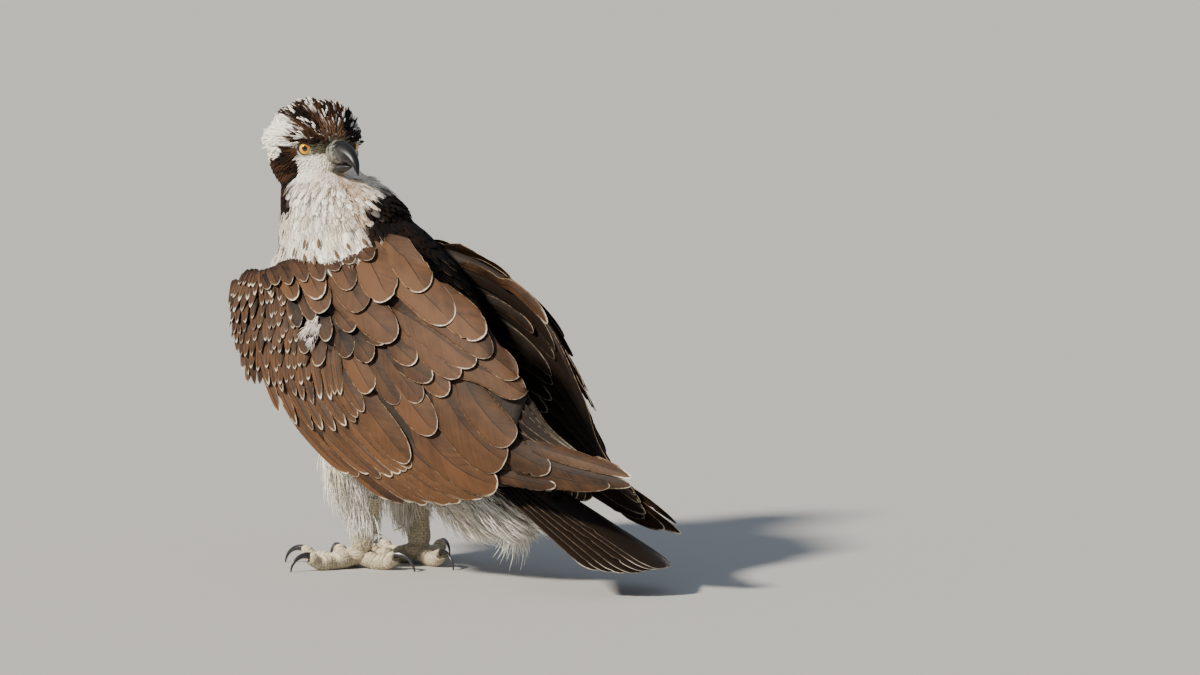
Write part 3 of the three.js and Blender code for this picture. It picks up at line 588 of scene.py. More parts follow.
def darkOnHead(points):
    forward, side, up = headPlace(points)
    out = np.abs(side)
    wobble = patches(points, 5, 3) - 0.5
    brow, high, low = (np.interp(forward, stripeRows[:, 0], stripeRows[:, n]) for n in (1, 2, 3))
    line = 1 - ramp(np.abs(up - brow + stripe["browRagged"] * wobble), *stripe["browHalf"])
    line = line * ramp(forward, *stripe["browForward"]) * ramp(out, *stripe["browOut"])
    ragged = stripe["ragged"] * wobble
    dark = ramp(high - up + ragged, *stripe["upper"]) * ramp(up - low + ragged, *stripe["lower"])
    dark = dark * ramp(out, *stripe["out"]) * (1 - ramp(forward, *stripe["end"]))
    return np.clip(np.maximum(np.maximum(darkCap(points, wobble), line), dark), 0, 1)


def neckTurn(points):  # degrees round the neck's axis, from the bird's left towards its tail
    x, y, z = points.T
    centre = through(flesh["neck"], np.clip((z - 262) / 78, 0, 1))
    around = np.degrees(np.arctan2(x - centre[:, 0], -(y - centre[:, 1])))
    return (around + 165) % 360 - 165


def darkOnNeck(points):
    z = points[:, 2]
    around = neckTurn(points)
    low, high = (np.interp(z, neckWhite[:, 0], neckWhite[:, n]) for n in (1, 2))
    wobble = patches(points * np.array([1, 1, 0.35]), 5, 8) - 0.5
    white = ramp(around - low + 24 * wobble, -5, 5) * (1 - ramp(around - high + 30 * wobble, -5, 5))
    return 1 - white


def darkOnBody(points):
    x, y, z = points.T
    spine = through(flesh["torso"], np.clip((280 - z) / 176, 0, 1))
    centre = (spine[:, 0] + spine[:, 2]) / 2
    middle = (spine[:, 1] + spine[:, 3]) / 2
    back = np.degrees(np.arctan2(np.abs(y), (x - centre) * 0.8 + (z - middle)))
    return 1 - ramp(back + 8 * (patches(points, 9, 4) - 0.5), 96, 112)


def markings(points):
    z = points[:, 2]
    share = headShare(points)[:, None]
    high = ramp(z, *edges["neckUp"])[:, None]
    dark = mixed(darkOnBody(points)[:, None], darkOnNeck(points)[:, None], high)
    dark = mixed(dark, darkOnHead(points)[:, None], share)
    forward, side, up = headPlace(points)
    cream = stains["cream"] * ramp(patches(points, stains["creamSize"], 11), *stains["creamFrom"])[:, None]
    pale = mixed(tones["white"], tones["white"] * tones["creamShare"], cream)
    streak = ramp(fanStreaks(points, stains["throatStreak"], 21), *stains["throatFrom"])
    streak = streak * np.exp(-(side / stains["throatHalf"]) ** 2) * ramp(forward, *stains["throatForward"])
    streak = streak * ramp(-up, *stains["throatTop"]) * (1 - ramp(-up, *stains["throatEnd"]))
    pale = mixed(pale, tones["tan"], stains["throat"] * streak[:, None])
    warm = stains["warm"] * ramp(fanStreaks(points, stains["warmStreak"], 14), *stains["warmFrom"])
    warm = np.maximum(share * warm[:, None], stains["warmLeast"] * cream)
    base = mixed(pale, mixed(tones["dark"], tones["brown"], warm), dark)
    face = ramp(forward, *edges["faceForward"]) * share[:, 0]
    lore = face * (1 - ramp(np.abs(up - stains["loreUp"]), *stains["loreHalf"]))
    base = mixed(base, tones["lore"], lore[:, None])
    front = face * ramp(up, *stains["frontUp"]) * (1 - ramp(np.abs(side), *stains["frontHalf"]))
    return mixed(base, tones["brow"], stains["front"] * front[:, None]), dark[:, 0]


# Lie of the coat: from the bill back over the head, down the neck, and along the body
def coatLie(points):
    x, _, z = points.T
    zero = np.zeros(len(points))
    away = unit(points - inHead(34, 0, -3))
    up = headPlace(points)[2]
    headLie = unit(away * 0.5 - headForward - zAxis * ramp(-up, *edges["chinLie"])[:, None] * 1.4)
    front = np.stack([zero - 0.25, zero, zero - 1], -1)
    behind = np.stack([zero + 0.75, zero, zero - 1], -1)
    neckLie = unit(mixed(front, behind, ramp(x, *edges["backLie"])[:, None]))
    at = np.clip((290 - z) / 210, 0, 0.97)
    step = through(flesh["torso"], at + 0.03) - through(flesh["torso"], at)
    bodyLie = unit(np.stack([step[:, 0] + step[:, 2], zero, step[:, 1] + step[:, 3]], -1))
    lie = unit(mixed(bodyLie, neckLie, ramp(z, *edges["neckLie"])[:, None]))
    lie = mixed(lie, np.array([0.12, 0, -1.0]), thighShare(points)[:, None])
    lie = mixed(lie, tailAlong - tailOver * 0.1, ramp(x, *edges["tailLie"])[:, None])
    return unit(mixed(lie, headLie, headShare(points)[:, None]))


def thighShare(points):
    share = np.zeros(len(points))
    for leg in legs.values():
        hip, heel = np.array(leg["thigh"], float), np.array(leg["heel"], float)
        middle = hip + (heel - hip) * ((hip[2] - points[:, 2:3]) / (hip[2] - heel[2]))
        far = points[:, :2] - middle[:, :2] + np.array([edges["thighForward"], 0])
        near = 1 - ramp(np.hypot(*far.T), *edges["thighOut"])
        share = np.maximum(share, near * (1 - ramp(points[:, 2], *edges["thighUp"])))
    return share


# Roots of the coat: seeded places on the skin, kept apart
skinCorners = skinPoints[skinTris]
skinSides = skinCorners[:, 1:] - skinCorners[:, :1]
triArea = np.linalg.norm(np.cross(skinSides[:, 0], skinSides[:, 1]), axis=1) / 2


def scatter(keep, spacing, seed, crowd=5):  # keep: share from 0 to 1 at points
    rng = np.random.default_rng(seed)
    weight = triArea * keep(skinCorners.mean(1))
    count = int(weight.sum() / spacing**2 * crowd)
    pick = rng.choice(len(skinTris), count, p=weight / weight.sum())
    share = rng.dirichlet((1, 1, 1), count)[:, :, None]
    points = (skinPoints[skinTris[pick]] * share).sum(1)
    normals = unit((skinNormals[skinTris[pick]] * share).sum(1))
    cells = {}
    kept = []
    places = np.floor(points / spacing).astype(int)
    for n in range(count):
        x, y, z = places[n]
        near = [m for a in (x - 1, x, x + 1) for b in (y - 1, y, y + 1) for c in (z - 1, z, z + 1)
                for m in cells.get((a, b, c), ())]
        if all(((points[m] - points[n]) ** 2).sum() > spacing**2 for m in near):
            cells.setdefault((x, y, z), []).append(n)
            kept.append(n)
    return points[kept], normals[kept], rng


unwrap = {"heights": (40, 110, 200, 280, 340), "centres": (20, 30, 0, -40, -65), "low": 20, "tall": 365,
          "margin": 0.01, "share": 0.97, "patch": 0.003}


def atlasPlace(points):  # unwrap of the skin: round its own axis and up it
    x, y, z = points.T
    around = np.arctan2(y, x - np.interp(z, unwrap["heights"], unwrap["centres"])) / (2 * np.pi) + 0.5
    high = np.clip((z - unwrap["low"]) / unwrap["tall"], 0, 1)
    return unwrap["margin"] + unwrap["share"] * np.stack([around, high], -1)


def atlasPatch(across, along):  # own small patch of a plate or a strand
    return np.stack(np.broadcast_arrays(across[None, :], along[:, None]), -1) * unwrap["patch"]


def coatPlates(name, roots, normals, lie, size, coat, paint, rng):
    # thin rounded plates: size holds length, half width, lift and bend of each
    length, half, lift, bend = (np.broadcast_to(v, len(roots)) for v in size)
    rows, cols = coat["rows"], coat["cols"]
    across = unit(np.cross(normals, lie))
    k = 1 - (1 - np.linspace(0, 1, rows)) ** 1.5
    e = np.linspace(-1, 1, cols)
    past = np.clip((k - coat["shoulder"]) / (1.001 - coat["shoulder"]), 0, 1)
    outline = coat["root"] + (1 - coat["root"]) * ramp(k, 0, 0.35)
    outline = outline * np.sqrt(np.clip(1 - past ** coat["tip"], 0.02, 1))
    run = k[None, :] * length[:, None]
    rise = lift[:, None] * np.sin(np.pi * 0.5 * k) - bend[:, None] * k**2 - coat["sink"] * (1 - k) ** 2
    middle = roots[:, None] + lie[:, None] * run[..., None] + normals[:, None] * rise[..., None]
    wide = half[:, None] * outline[None, :]
    frayed = 1 + coat["fray"] * (rng.random((len(roots), rows, cols)) - 0.5) * np.abs(e)
    off = wide[..., None] * e * frayed
    camber = -coat["camber"] * wide[..., None] * e**2
    points = (middle[:, :, None] + across[:, None, None] * off[..., None]
              + normals[:, None, None] * camber[..., None])
    thick = coat["thick"] * (1 - 0.75 * k)[None, :, None, None] / 2
    up = normals[:, None, None]
    whole = np.stack([points + up * thick, points - up * thick], 1)
    along = np.broadcast_to(k[None, None, :, None], (len(roots), 2, rows, cols))
    edge = np.minimum((1 - np.abs(e)) * wide[..., None], ((1 - k) * length[:, None])[..., None])
    edge = np.broadcast_to(edge[:, None], along.shape)
    seed = np.broadcast_to(rng.random(len(roots))[:, None, None, None], along.shape)
    colour = np.broadcast_to(paint[:, None, None, None], (*along.shape, 3)).reshape(-1, 3)
    atlas = atlasPlace(roots)[:, None, None, None] + atlasPatch(e * 0.5 + 0.5, k)[None, None]
    atlas = np.broadcast_to(atlas, (*along.shape, 2)).reshape(-1, 2)
    return addMesh(name, whole.reshape(-1, 3), plateFaces(rows, cols, len(roots)), None,
                   {"along": along, "edge": edge, "seed": seed}, colour, atlas)


def coatStrands(name, roots, normals, lie, size, coat, paint, rng):
    # locks of fine strands that part towards their tips
    length, spread, lift, bend = (np.broadcast_to(v, len(roots)) for v in size)
    count, rows = coat["strands"], coat["rows"]
    across = unit(np.cross(normals, lie))
    n = len(roots) * count
    owner = np.repeat(np.arange(len(roots)), count)
    fan = (np.tile(np.linspace(-1, 1, count), len(roots)) + 0.5 * (rng.random(n) - 0.5))
    k = np.linspace(0, 1, rows)
    own = length[owner] * (1 - coat["shortSides"] * fan**2) * (0.8 + 0.35 * rng.random(n))
    side = fan * spread[owner]
    curl = (rng.random(n) - 0.5) * coat["curl"] * own
    stand = lift[owner] * (0.7 + 0.6 * rng.random(n))
    parting = coat["part"] + (1 - coat["part"]) * np.sin(np.pi * 0.5 * k)
    off = side[:, None] * parting + curl[:, None] * k**2
    rise = stand[:, None] * np.sin(np.pi * 0.5 * k) - bend[owner][:, None] * k**2
    rise = rise - coat["sink"] * (1 - k) ** 2
    path = (roots[owner][:, None] + lie[owner][:, None] * (own[:, None] * k)[..., None]
            + across[owner][:, None] * off[..., None] + normals[owner][:, None] * rise[..., None])
    wide = coat["width"] * (1 - k) ** 0.6 * (0.55 + 0.45 * ramp(k, 0, 0.3)) + coat["width"] * 0.06
    turn = fullTurn(3) + np.pi / 2
    ring = (across[owner][:, None, None] * np.cos(turn)[None, None, :, None]
            + normals[owner][:, None, None] * (np.sin(turn) * coat["flat"])[None, None, :, None])
    points = path[:, :, None] + ring * wide[None, :, None, None]
    r, i = np.meshgrid(np.arange(rows - 1), np.arange(3), indexing="ij")
    j = (i + 1) % 3
    quads = np.stack([r * 3 + i, r * 3 + j, r * 3 + 3 + j, r * 3 + 3 + i], -1).reshape(-1, 4)
    ends = np.array([[2, 1, 0], [rows * 3 - 3, rows * 3 - 2, rows * 3 - 1]])
    base = (np.arange(n) * rows * 3)[:, None, None]
    along = np.broadcast_to(k[None, :, None], (n, rows, 3))
    seed = np.broadcast_to(rng.random(len(roots))[owner][:, None, None], along.shape)
    colour = np.broadcast_to(paint[owner][:, None, None], (n, rows, 3, 3)).reshape(-1, 3)
    atlas = atlasPlace(roots)[owner][:, None, None] + atlasPatch(np.arange(3) * 0.33, k)[None]
    return addMesh(name, points.reshape(-1, 3), (quads[None] + base).reshape(-1, 4),
                   (ends[None] + base).reshape(-1, 3),
                   {"along": along, "edge": 3 + 0 * along, "seed": seed}, colour, atlas.reshape(-1, 2))


# Wings
wing = {
    # upper edge x, y, z, lower edge x, y, z, bulge, for the left wing from wrist to tip
    "stations": [[-104, -50, 238, -111, -58, 214, 3], [-72, -46, 248, -97, -66, 178, 9],
                 [-22, -38, 261, -55, -72, 137, 16], [36, -33, 264, 8, -71, 90, 19],
                 [96, -32, 248, 66, -67, 68, 20], [152, -34, 216, 118, -60, 64, 17],
                 [190, -35, 168, 178, -50, 77, 11], [224, -33, 130, 236, -40, 83, 6],
                 [300, -27, 102, 304, -29, 88, 1]],
    "rightOut": 9, "rightOutEnd": 0.3, "rightDrop": 44, "rightDropStart": 0.5, "swellPower": 0.8,
    "swellUp": 0.35,
    "core": {"s": (0.02, 0.78), "t": (0.02, 0.93), "thick": 22, "edge": 2, "depth": 1.6,
             "frontRise": 5, "backRise": 2.2, "grid": (40, 24)},
    "vary": (0.006, 0.012, 0.008, 0.014, 0.6), "sag": 0.03, "rightEdge": 0.03,
    "step": 0.004, "leastGrid": 400, "farStep": 0.3,
    "quills": ("primaries", "inner primaries", "secondaries", "tertials"),
}
# Rows of wing feathers from the lowest tier to the highest. Each vane is given by its root and
# tip as places along and down the wing, and its half width; the row runs evenly through its vanes.
# rise is the height of root and tip, tilt how far each lower edge lifts over the next one, tone how
# brown the vanes are, rim how much of their cream edge shows and pale how much of their white tip
rowKeys = ("name", "count", "rise", "tilt", "shoulder", "tip", "grid", "tone", "rim", "pale", "vanes")
lowTiers = [
    ("primaries", 3, (-2.6, -1.6), 1.2, 0.5, 1.9, (30, 9), 0.42, 0.35, 0.9,
     [[0.805, 0.462, 1.0, 0.116, 7.4], [0.784, 0.572, 1.002, 0.686, 8.2],
      [0.75, 0.658, 0.964, 0.878, 9.9]]),
    ("inner primaries", 2, (-2.0, -0.6), 1.4, 0.6, 2.2, (26, 9), 0.5, 0.5, 0.8,
     [[0.69, 0.806, 0.87, 0.914, 6.6], [0.723, 0.544, 0.873, 0.644, 11.5]]),
    ("secondaries", 10, (-1.6, 0), 2.4, 0.86, 2.6, (28, 9), 0.66, 0.5, 0.7,
     [[0.278, 0.84, 0.526, 0.996, 7.0], [0.333, 0.758, 0.609, 0.978, 7.8],
      [0.408, 0.688, 0.682, 0.968, 8.2], [0.466, 0.652, 0.743, 0.964, 9.1]]),
    ("tertials", 5, (-1.2, 2.4), 1.4, 0.7, 2.2, (26, 9), 0.8, 0.6, 0.8,
     [[0.547, 0.592, 0.758, 0.928, 14.8], [0.626, 0.314, 0.782, 0.514, 14.0],
      [0.589, 0.412, 0.772, 0.708, 18.9], [0.573, 0.34, 0.778, 0.046, 12.3],
      [0.601, 0.19, 0.742, 0.002, 10.7]]),
    ("deep coverts", 3, (-1.2, 1.6), 1, 0.6, 2.1, (18, 9), 0.6, 0.5, 0.6,
     [[0.406, 0.4, 0.523, 0.588, 10.7], [0.444, 0.382, 0.568, 0.534, 11.5],
      [0.48, 0.322, 0.621, 0.434, 12.3]]),
    ("greater coverts", 8, (-1.4, 1.6), 1.5, 0.7, 2.1, (22, 9), 0.88, 0.75, 0.8,
     [[0.282, 0.934, 0.428, 0.97, 5.2], [0.323, 0.864, 0.47, 0.936, 5.2],
      [0.363, 0.802, 0.517, 0.91, 5.3], [0.403, 0.728, 0.551, 0.86, 5.9],
      [0.427, 0.676, 0.571, 0.836, 7.0]]),
    ("broad coverts", 2, (-0.8, 2.6), 1.2, 0.6, 2.1, (24, 11), 0.85, 0.75, 0.7,
     [[0.41, 0.606, 0.572, 0.8, 13.2], [0.463, 0.446, 0.613, 0.648, 14.8]]),
    ("middle coverts", 9, (-1.2, 2.4), 1.2, 0.6, 1.8, (18, 7), 0.85, 0.6, 0.9,
     [[0.215, 0.848, 0.283, 0.978, 4.1], [0.274, 0.776, 0.349, 0.894, 4.3],
      [0.315, 0.722, 0.397, 0.826, 4.6], [0.352, 0.644, 0.438, 0.738, 5.3],
      [0.378, 0.57, 0.451, 0.688, 6.2]]),
    ("wide middle covert", 1, (-0.6, 3), 1, 0.62, 2.3, (18, 9), 0.85, 0.9, 0.7,
     [[0.383, 0.462, 0.467, 0.59, 11.5]]),
    ("narrow coverts", 9, (-1, 2.8), 1.1, 0.55, 1.7, (14, 7), 0.85, 0.45, 1,
     [[0.181, 0.714, 0.254, 0.894, 3.8], [0.26, 0.664, 0.315, 0.818, 3.8],
      [0.302, 0.616, 0.346, 0.776, 3.8], [0.336, 0.546, 0.379, 0.708, 3.8],
      [0.363, 0.498, 0.403, 0.662, 4.3]]),
]
# Small rows over the wrist: count, tone, and the roots and tips of three vanes
lesser = {"rise": (-0.8, 3.0), "step": 0.12, "tilt": 0.9, "shoulder": 0.5, "tip": 1.6, "grid": (9, 5),
          "rim": 0.2, "pale": 1, "loose": 1.9, "half": 3.6}
lesserTiers = [
    (10, 0.79, [[0.165, 0.926, 0.191, 1.058], [0.249, 0.718, 0.269, 0.836], [0.31, 0.608, 0.329, 0.706]]),
    (11, 0.77, [[0.133, 0.902, 0.163, 1.046], [0.235, 0.654, 0.258, 0.78], [0.305, 0.54, 0.326, 0.642]]),
    (11, 0.75, [[0.098, 0.874, 0.137, 1.016], [0.212, 0.596, 0.24, 0.732], [0.285, 0.496, 0.31, 0.602]]),
    (11, 0.73, [[0.043, 0.938, 0.112, 0.982], [0.187, 0.532, 0.222, 0.684], [0.264, 0.45, 0.292, 0.566]]),
    (11, 0.71, [[-0.003, 1.038, 0.085, 0.954], [0.164, 0.458, 0.205, 0.63], [0.245, 0.398, 0.278, 0.524]]),
    (10, 0.67, [[-0.033, 1.002, 0.05, 0.95], [0.135, 0.356, 0.187, 0.562], [0.221, 0.33, 0.261, 0.474]]),
    (10, 0.63, [[-0.05, 0.42, 0.01, 1.01], [0.101, 0.236, 0.168, 0.494], [0.198, 0.256, 0.244, 0.426]]),
    (9, 0.58, [[-0.014, 0.25, 0.012, 0.728], [0.051, 0.05, 0.148, 0.422], [0.163, 0.164, 0.22, 0.384]]),
    (7, 0.53, [[-0.009, -0.174, 0.033, 0.396], [0.042, 0.012, 0.129, 0.336], [0.111, 0.03, 0.188, 0.338]]),
]
highTiers = [
    ("dark coverts", 12, (-0.4, 3.8), 1, 0.5, 2, (14, 9), 0.42, 1, 0.8,
     [[0.226, 0.326, 0.287, 0.494, 7.0], [0.249, 0.284, 0.313, 0.432, 7.4],
      [0.284, 0.468, 0.317, 0.586, 7.0], [0.298, 0.426, 0.326, 0.53, 6.6],
      [0.33, 0.494, 0.349, 0.602, 7.0], [0.313, 0.376, 0.352, 0.476, 7.4],
      [0.359, 0.42, 0.402, 0.488, 9.1], [0.34, 0.328, 0.394, 0.384, 8.2],
      [0.39, 0.402, 0.452, 0.466, 10.7], [0.408, 0.352, 0.472, 0.368, 7.4],
      [0.467, 0.35, 0.537, 0.38, 9.9], [0.48, 0.392, 0.58, 0.412, 10.7]]),
    ("under scapulars", 3, (-0.8, 3.6), 1.2, 0.6, 2.1, (20, 9), 0.75, 0.5, 0.7,
     [[0.464, 0.258, 0.63, 0.33, 12.3], [0.45, 0.216, 0.652, 0.226, 14.0],
      [0.453, 0.144, 0.669, 0.116, 14.0]]),
    ("low scapulars", 4, (-0.4, 4.6), 1.2, 0.62, 2.2, (20, 9), 0.8, 0.6, 0.8,
     [[0.471, 0.086, 0.64, 0.088, 14.0], [0.404, 0.072, 0.572, 0.138, 15.6],
      [0.299, 0.202, 0.49, 0.34, 15.6], [0.369, -0.056, 0.505, 0.082, 14.0]]),
    ("middle scapulars", 3, (0, 5.4), 1.2, 0.62, 2.3, (18, 9), 0.85, 0.6, 0.7,
     [[0.234, 0.14, 0.328, 0.366, 11.5], [0.276, 0.094, 0.406, 0.278, 14.8],
      [0.307, -0.02, 0.443, 0.204, 16.5]]),
    ("high scapulars", 3, (0.4, 6), 1, 0.6, 2.2, (16, 9), 0.7, 0.6, 0.8,
     [[0.177, 0.18, 0.262, 0.362, 7.4], [0.185, 0.028, 0.316, 0.316, 11.5],
      [0.259, 0.008, 0.361, 0.212, 10.7]]),
    ("mantle edge", 8, (0.6, 6), 0.8, 0.5, 1.9, (13, 7), 0.42, 0.5, 0.5,
     [[0.097, 0.124, 0.188, 0.338, 5.8], [0.119, 0.052, 0.216, 0.292, 6.6],
      [0.143, -0.024, 0.259, 0.256, 8.2], [0.188, -0.018, 0.303, 0.2, 9.1],
      [0.243, -0.034, 0.33, 0.118, 9.1], [0.291, -0.046, 0.375, 0.062, 9.1]]),
]
# Feathers on each wing's inner face, dressed near black as painted shade
liningTiers = [
    ("lining quills", 9, (-1, 0.6), 1.2, 0.7, 2.2, (24, 7), 0.3, 0.4, 0.2,
     [[0.45, 0.06, 0.93, 0.1, 8], [0.42, 0.88, 0.93, 0.85, 8]]),
    ("lining middle", 9, (-0.8, 1.4), 1.2, 0.7, 2.2, (18, 7), 0.25, 0.3, 0.2,
     [[0.22, 0.06, 0.66, 0.06, 8], [0.2, 0.85, 0.62, 0.85, 9]]),
    ("lining front", 9, (-0.8, 2), 1.2, 0.6, 2, (14, 7), 0.25, 0.3, 0.3,
     [[0.06, 0.08, 0.4, 0.06, 8], [0.06, 0.85, 0.36, 0.82, 9]]),
]
# Long feathers of the right wing that lie along the inner side of its upper edge
innerTier = ("inner quills", 2, (0.5, 3.6), 1, 0.75, 2.2, (26, 9), 0.32, 0.4, 0.4,
             [[0.44, 0.16, 0.6, 0.12, 5], [0.42, 0.04, 0.64, -0.04, 5]])


def tierRow(tier):
    return dict(zip(rowKeys, tier))


def lesserRow(number, count, tone, vanes):
    root, end = lesser["rise"]
    return {**lesser, "name": f"lesser coverts {number + 1}", "count": count, "tone": tone,
            "rise": (root, end + lesser["step"] * number), "vanes": [(*v, lesser["half"]) for v in vanes]}


wingRows = [tierRow(tier) for tier in lowTiers]
wingRows += [lesserRow(number, *tier) for number, tier in enumerate(lesserTiers)]
wingRows += [tierRow(tier) for tier in highTiers]

# Vanes: how edges tear and fray, and the thickness of the vane and of the shaft on it
vane = {"crowd": 1.35, "tearChance": 0.06, "tear": 0.2, "fray": 0.025, "frayFrom": 0.72,
        "stem": 0.4, "widen": 2.2, "point": 0.004, "camber": 1.1, "thick": 0.4, "thin": 0.2,
        "shaft": 0.45, "shaftHalf": 0.7, "shaftThin": 0.8}


def wingPlace(side, s, t):
    s, t = np.broadcast_arrays(np.asarray(s, float), np.asarray(t, float))
    shape = s.shape
    ux, uy, uz, lx, ly, lz, bulge = (v.reshape(shape) for v in through(wing["stations"], s.ravel()).T)
    swell = bulge * np.sin(np.pi * np.clip(t, 0, 1)) ** wing["swellPower"]
    x, y = mixed(ux, lx, t), mixed(uy, ly, t) - swell
    z = mixed(uz, lz, t) + swell * wing["swellUp"]
    if side == left:
        return np.stack([x, y, z], -1)
    rise = np.clip((s - wing["rightDropStart"]) / (1 - wing["rightDropStart"]), 0, 1)
    near = np.clip(s / wing["rightOutEnd"], 0, 1)
    return np.stack([x, -y + wing["rightOut"] * near * (1 - 0.9 * rise),
                     z - wing["rightDrop"] * rise**1.5], -1)


def wingFrame(side, s, t, inner=False):  # place, normal, and the ways along and down the wing
    place = innerPlace if inner else wingPlace
    step = wing["step"]
    alongS = (place(side, s + step, t) - place(side, s - step, t)) / (2 * step)
    alongT = (place(side, s, t + step) - place(side, s, t - step)) / (2 * step)
    normal = unit(np.cross(alongS, alongT))
    facing = -side if inner else side
    normal = normal * np.where(normal[..., 1:2] * facing < 0, -1, 1)
    return place(side, s, t), normal, alongS, alongT


def innerPlace(side, s, t):  # inner face of the wing, towards the body
    core = wing["core"]
    spot, normal = wingFrame(side, s, t)[:2]
    a, b = (np.clip((v - core[key][0]) / (core[key][1] - core[key][0]), 0, 1)
            for key, v in (("s", s), ("t", t)))
    full = np.minimum(1, a * core["frontRise"]) * np.minimum(1, (1 - a) * core["backRise"])
    full = full * np.sin(np.pi * mixed(0.05, 0.95, b)) ** 0.8
    return spot - normal * (core["depth"] + mixed(core["edge"], core["thick"], full))[..., None]


def stepFor(alongS, alongT, move):  # steps on the surface that match a short move in space
    a, b, c = (dot(v, w)[..., 0] for v, w in ((alongS, alongS), (alongS, alongT), (alongT, alongT)))
    p, q = dot(move, alongS)[..., 0], dot(move, alongT)[..., 0]
    whole = np.maximum(a * c - b * b, wing["leastGrid"])
    steps = ((p * c - q * b) / whole, (q * a - p * b) / whole)
    return (np.clip(v, -wing["farStep"], wing["farStep"]) for v in steps)


def vaneOutline(k, row):
    root = np.minimum(1, vane["stem"] + vane["widen"] * k)
    past = np.clip((k - row["shoulder"]) / (1 - row["shoulder"]), 0, 1)
    return root * np.clip(1 - past ** row["tip"], vane["point"], 1) ** (1 / row["tip"])


def vaneShape(row, count, rng):  # places along and across, and the reach of the frayed edge
    rows, cols = row["grid"]
    k = 1 - (1 - np.linspace(0, 1, rows)) ** vane["crowd"]
    half = (cols - 1) // 2
    e = 1 - np.linspace(0, 1, half + 1)[:-1] ** 1.5
    e = np.concatenate([-e, [0], e[::-1]])
    torn = (rng.random((rows, count, 2)) < vane["tearChance"]) * rng.random((rows, count, 2)) * vane["tear"]
    fray = 1 - vane["fray"] * rng.random((rows, count, 2)) - torn * ramp(k, 0.3, 0.7)[:, None, None]
    fray = np.where(e < 0, fray[..., :1], fray[..., 1:])
    return k, e, 1 + (fray - 1) * ramp(np.abs(e), vane["frayFrom"], 1)


def wingVanes(side, row, rng, inner=False):
    keys = np.array(row["vanes"], float)
    count = row["count"]
    data = keys if count == len(keys) else evenly(keys, count)
    data = data + (rng.random((count, 5)) - 0.5) * np.array(wing["vary"]) * row.get("loose", 1)
    if side == right and not inner:
        data[:, [1, 3]] = np.maximum(data[:, [1, 3]], wing["rightEdge"])
    k, e, reach = vaneShape(row, count, rng)
    outline = vaneOutline(k, row)
    s = mixed(data[:, :1], data[:, 2:3], k[None])
    t = mixed(data[:, 1:2], data[:, 3:4], k[None])
    half = data[:, 4]
    spot, normal, alongS, alongT = wingFrame(side, s, t, inner)
    way = np.gradient(spot, axis=1)
    way = unit(way - normal * dot(way, normal))
    across = np.cross(normal, way)
    length = np.linalg.norm(np.diff(spot, axis=1), axis=-1).sum(1)
    low = dot(across, unit(alongT) - unit(alongS))[:, len(k) // 2]
    lower = np.sign(low)[:, 0]  # which edge is the lower one
    sag = (rng.random(count) - 0.5) * wing["sag"] * length
    twist = rng.random(count) - 0.5
    off = half[:, None, None] * outline[None, :, None] * e * reach.transpose(1, 0, 2)
    move = across[:, :, None] * (off + (sag[:, None] * k**2)[..., None])[..., None]
    if inner:
        spot, face = spot[:, :, None] + move, normal[:, :, None]
    else:
        ds, dt = stepFor(alongS[:, :, None], alongT[:, :, None], move)
        spot, face = wingFrame(side, s[..., None] + ds, t[..., None] + dt)[:2]
    part = off / half[:, None, None]
    lift = mixed(*row["rise"], k)[None] + twist[:, None] * k**2
    slope = lower[:, None, None] * part * row["tilt"]
    camber = vane["camber"] * (1 - part**2) * np.minimum(1, k * 3)[None, :, None]
    height = (lift[..., None] + slope + camber)[..., None]
    thin = k[None, :, None, None]
    shaft = vane["shaft"] * np.exp(-(off / vane["shaftHalf"]) ** 2)[..., None]
    thick = vane["thick"] - vane["thin"] * thin + shaft * (1 - vane["shaftThin"] * thin)
    faces = [spot + face * (height + sign * thick / 2) for sign in (1, -1)]
    return featherArrays(faces, row, (k, e, outline), length, half, lower, rng)


def featherArrays(faces, row, outlines, length, half, lower, rng):  # faces: upper side, under side
    k, e, outline = outlines
    count = len(length)
    grid = np.stack(faces, 1)
    wide = (half[:, None] * outline[None])[..., None]
    off = wide * e * lower[:, None, None]
    run = (k[None] * length[:, None])[..., None]
    edge = np.minimum((1 - np.abs(e)) * wide, (length[:, None, None] - run) * 0.9)
    flat = lambda v: np.broadcast_to(np.broadcast_to(v, off.shape)[:, None], grid.shape[:-1]).reshape(-1)
    each = lambda v: flat(v[:, None, None])
    values = {"off": flat(off), "run": flat(run), "edge": flat(edge), "along": flat(k[:, None]),
              "seed": each(rng.random(count)), "tone": each(row["tone"] + 0.2 * (rng.random(count) - 0.5)),
              "rim": flat(row["rim"]), "pale": flat(row["pale"])}
    rows, cols = row["grid"]
    return {"points": grid.reshape(-1, 3), "faces": plateFaces(rows, cols, count), "values": values,
            "cells": count, "grid": (e * 0.5 + 0.5, k)}


def featherAtlas(sets):  # a cell for each feather, its upper side beside its under side
    cells = [one["grid"] for one in sets for _ in range(one["cells"])]
    side = math.ceil(math.sqrt(len(cells)))
    atlas = []
    for number, (e, k) in enumerate(cells):
        u, v = np.meshgrid(e, k)
        sides = [np.stack([u * wide + start, v * 0.92 + 0.04], -1)
                 for wide, start in ((0.56, 0.03), (0.32, 0.64))]
        atlas.append((np.array([number % side, number // side]) + np.stack(sides).reshape(-1, 2)) / side)
    return np.concatenate(atlas)


def featherPiece(name, sets, finish, slot, *nodes):  # joins rows of feathers
    starts = np.cumsum([0] + [len(one["points"]) for one in sets])
    faces = np.concatenate([one["faces"] + start for one, start in zip(sets, starts)])
    values = {key: np.concatenate([one["values"][key] for one in sets]) for key in sets[0]["values"]}
    points = np.concatenate([one["points"] for one in sets])
    piece = addMesh(name, points, faces, None, values, None, featherAtlas(sets))
    return settle(piece, finish, slot, *nodes)


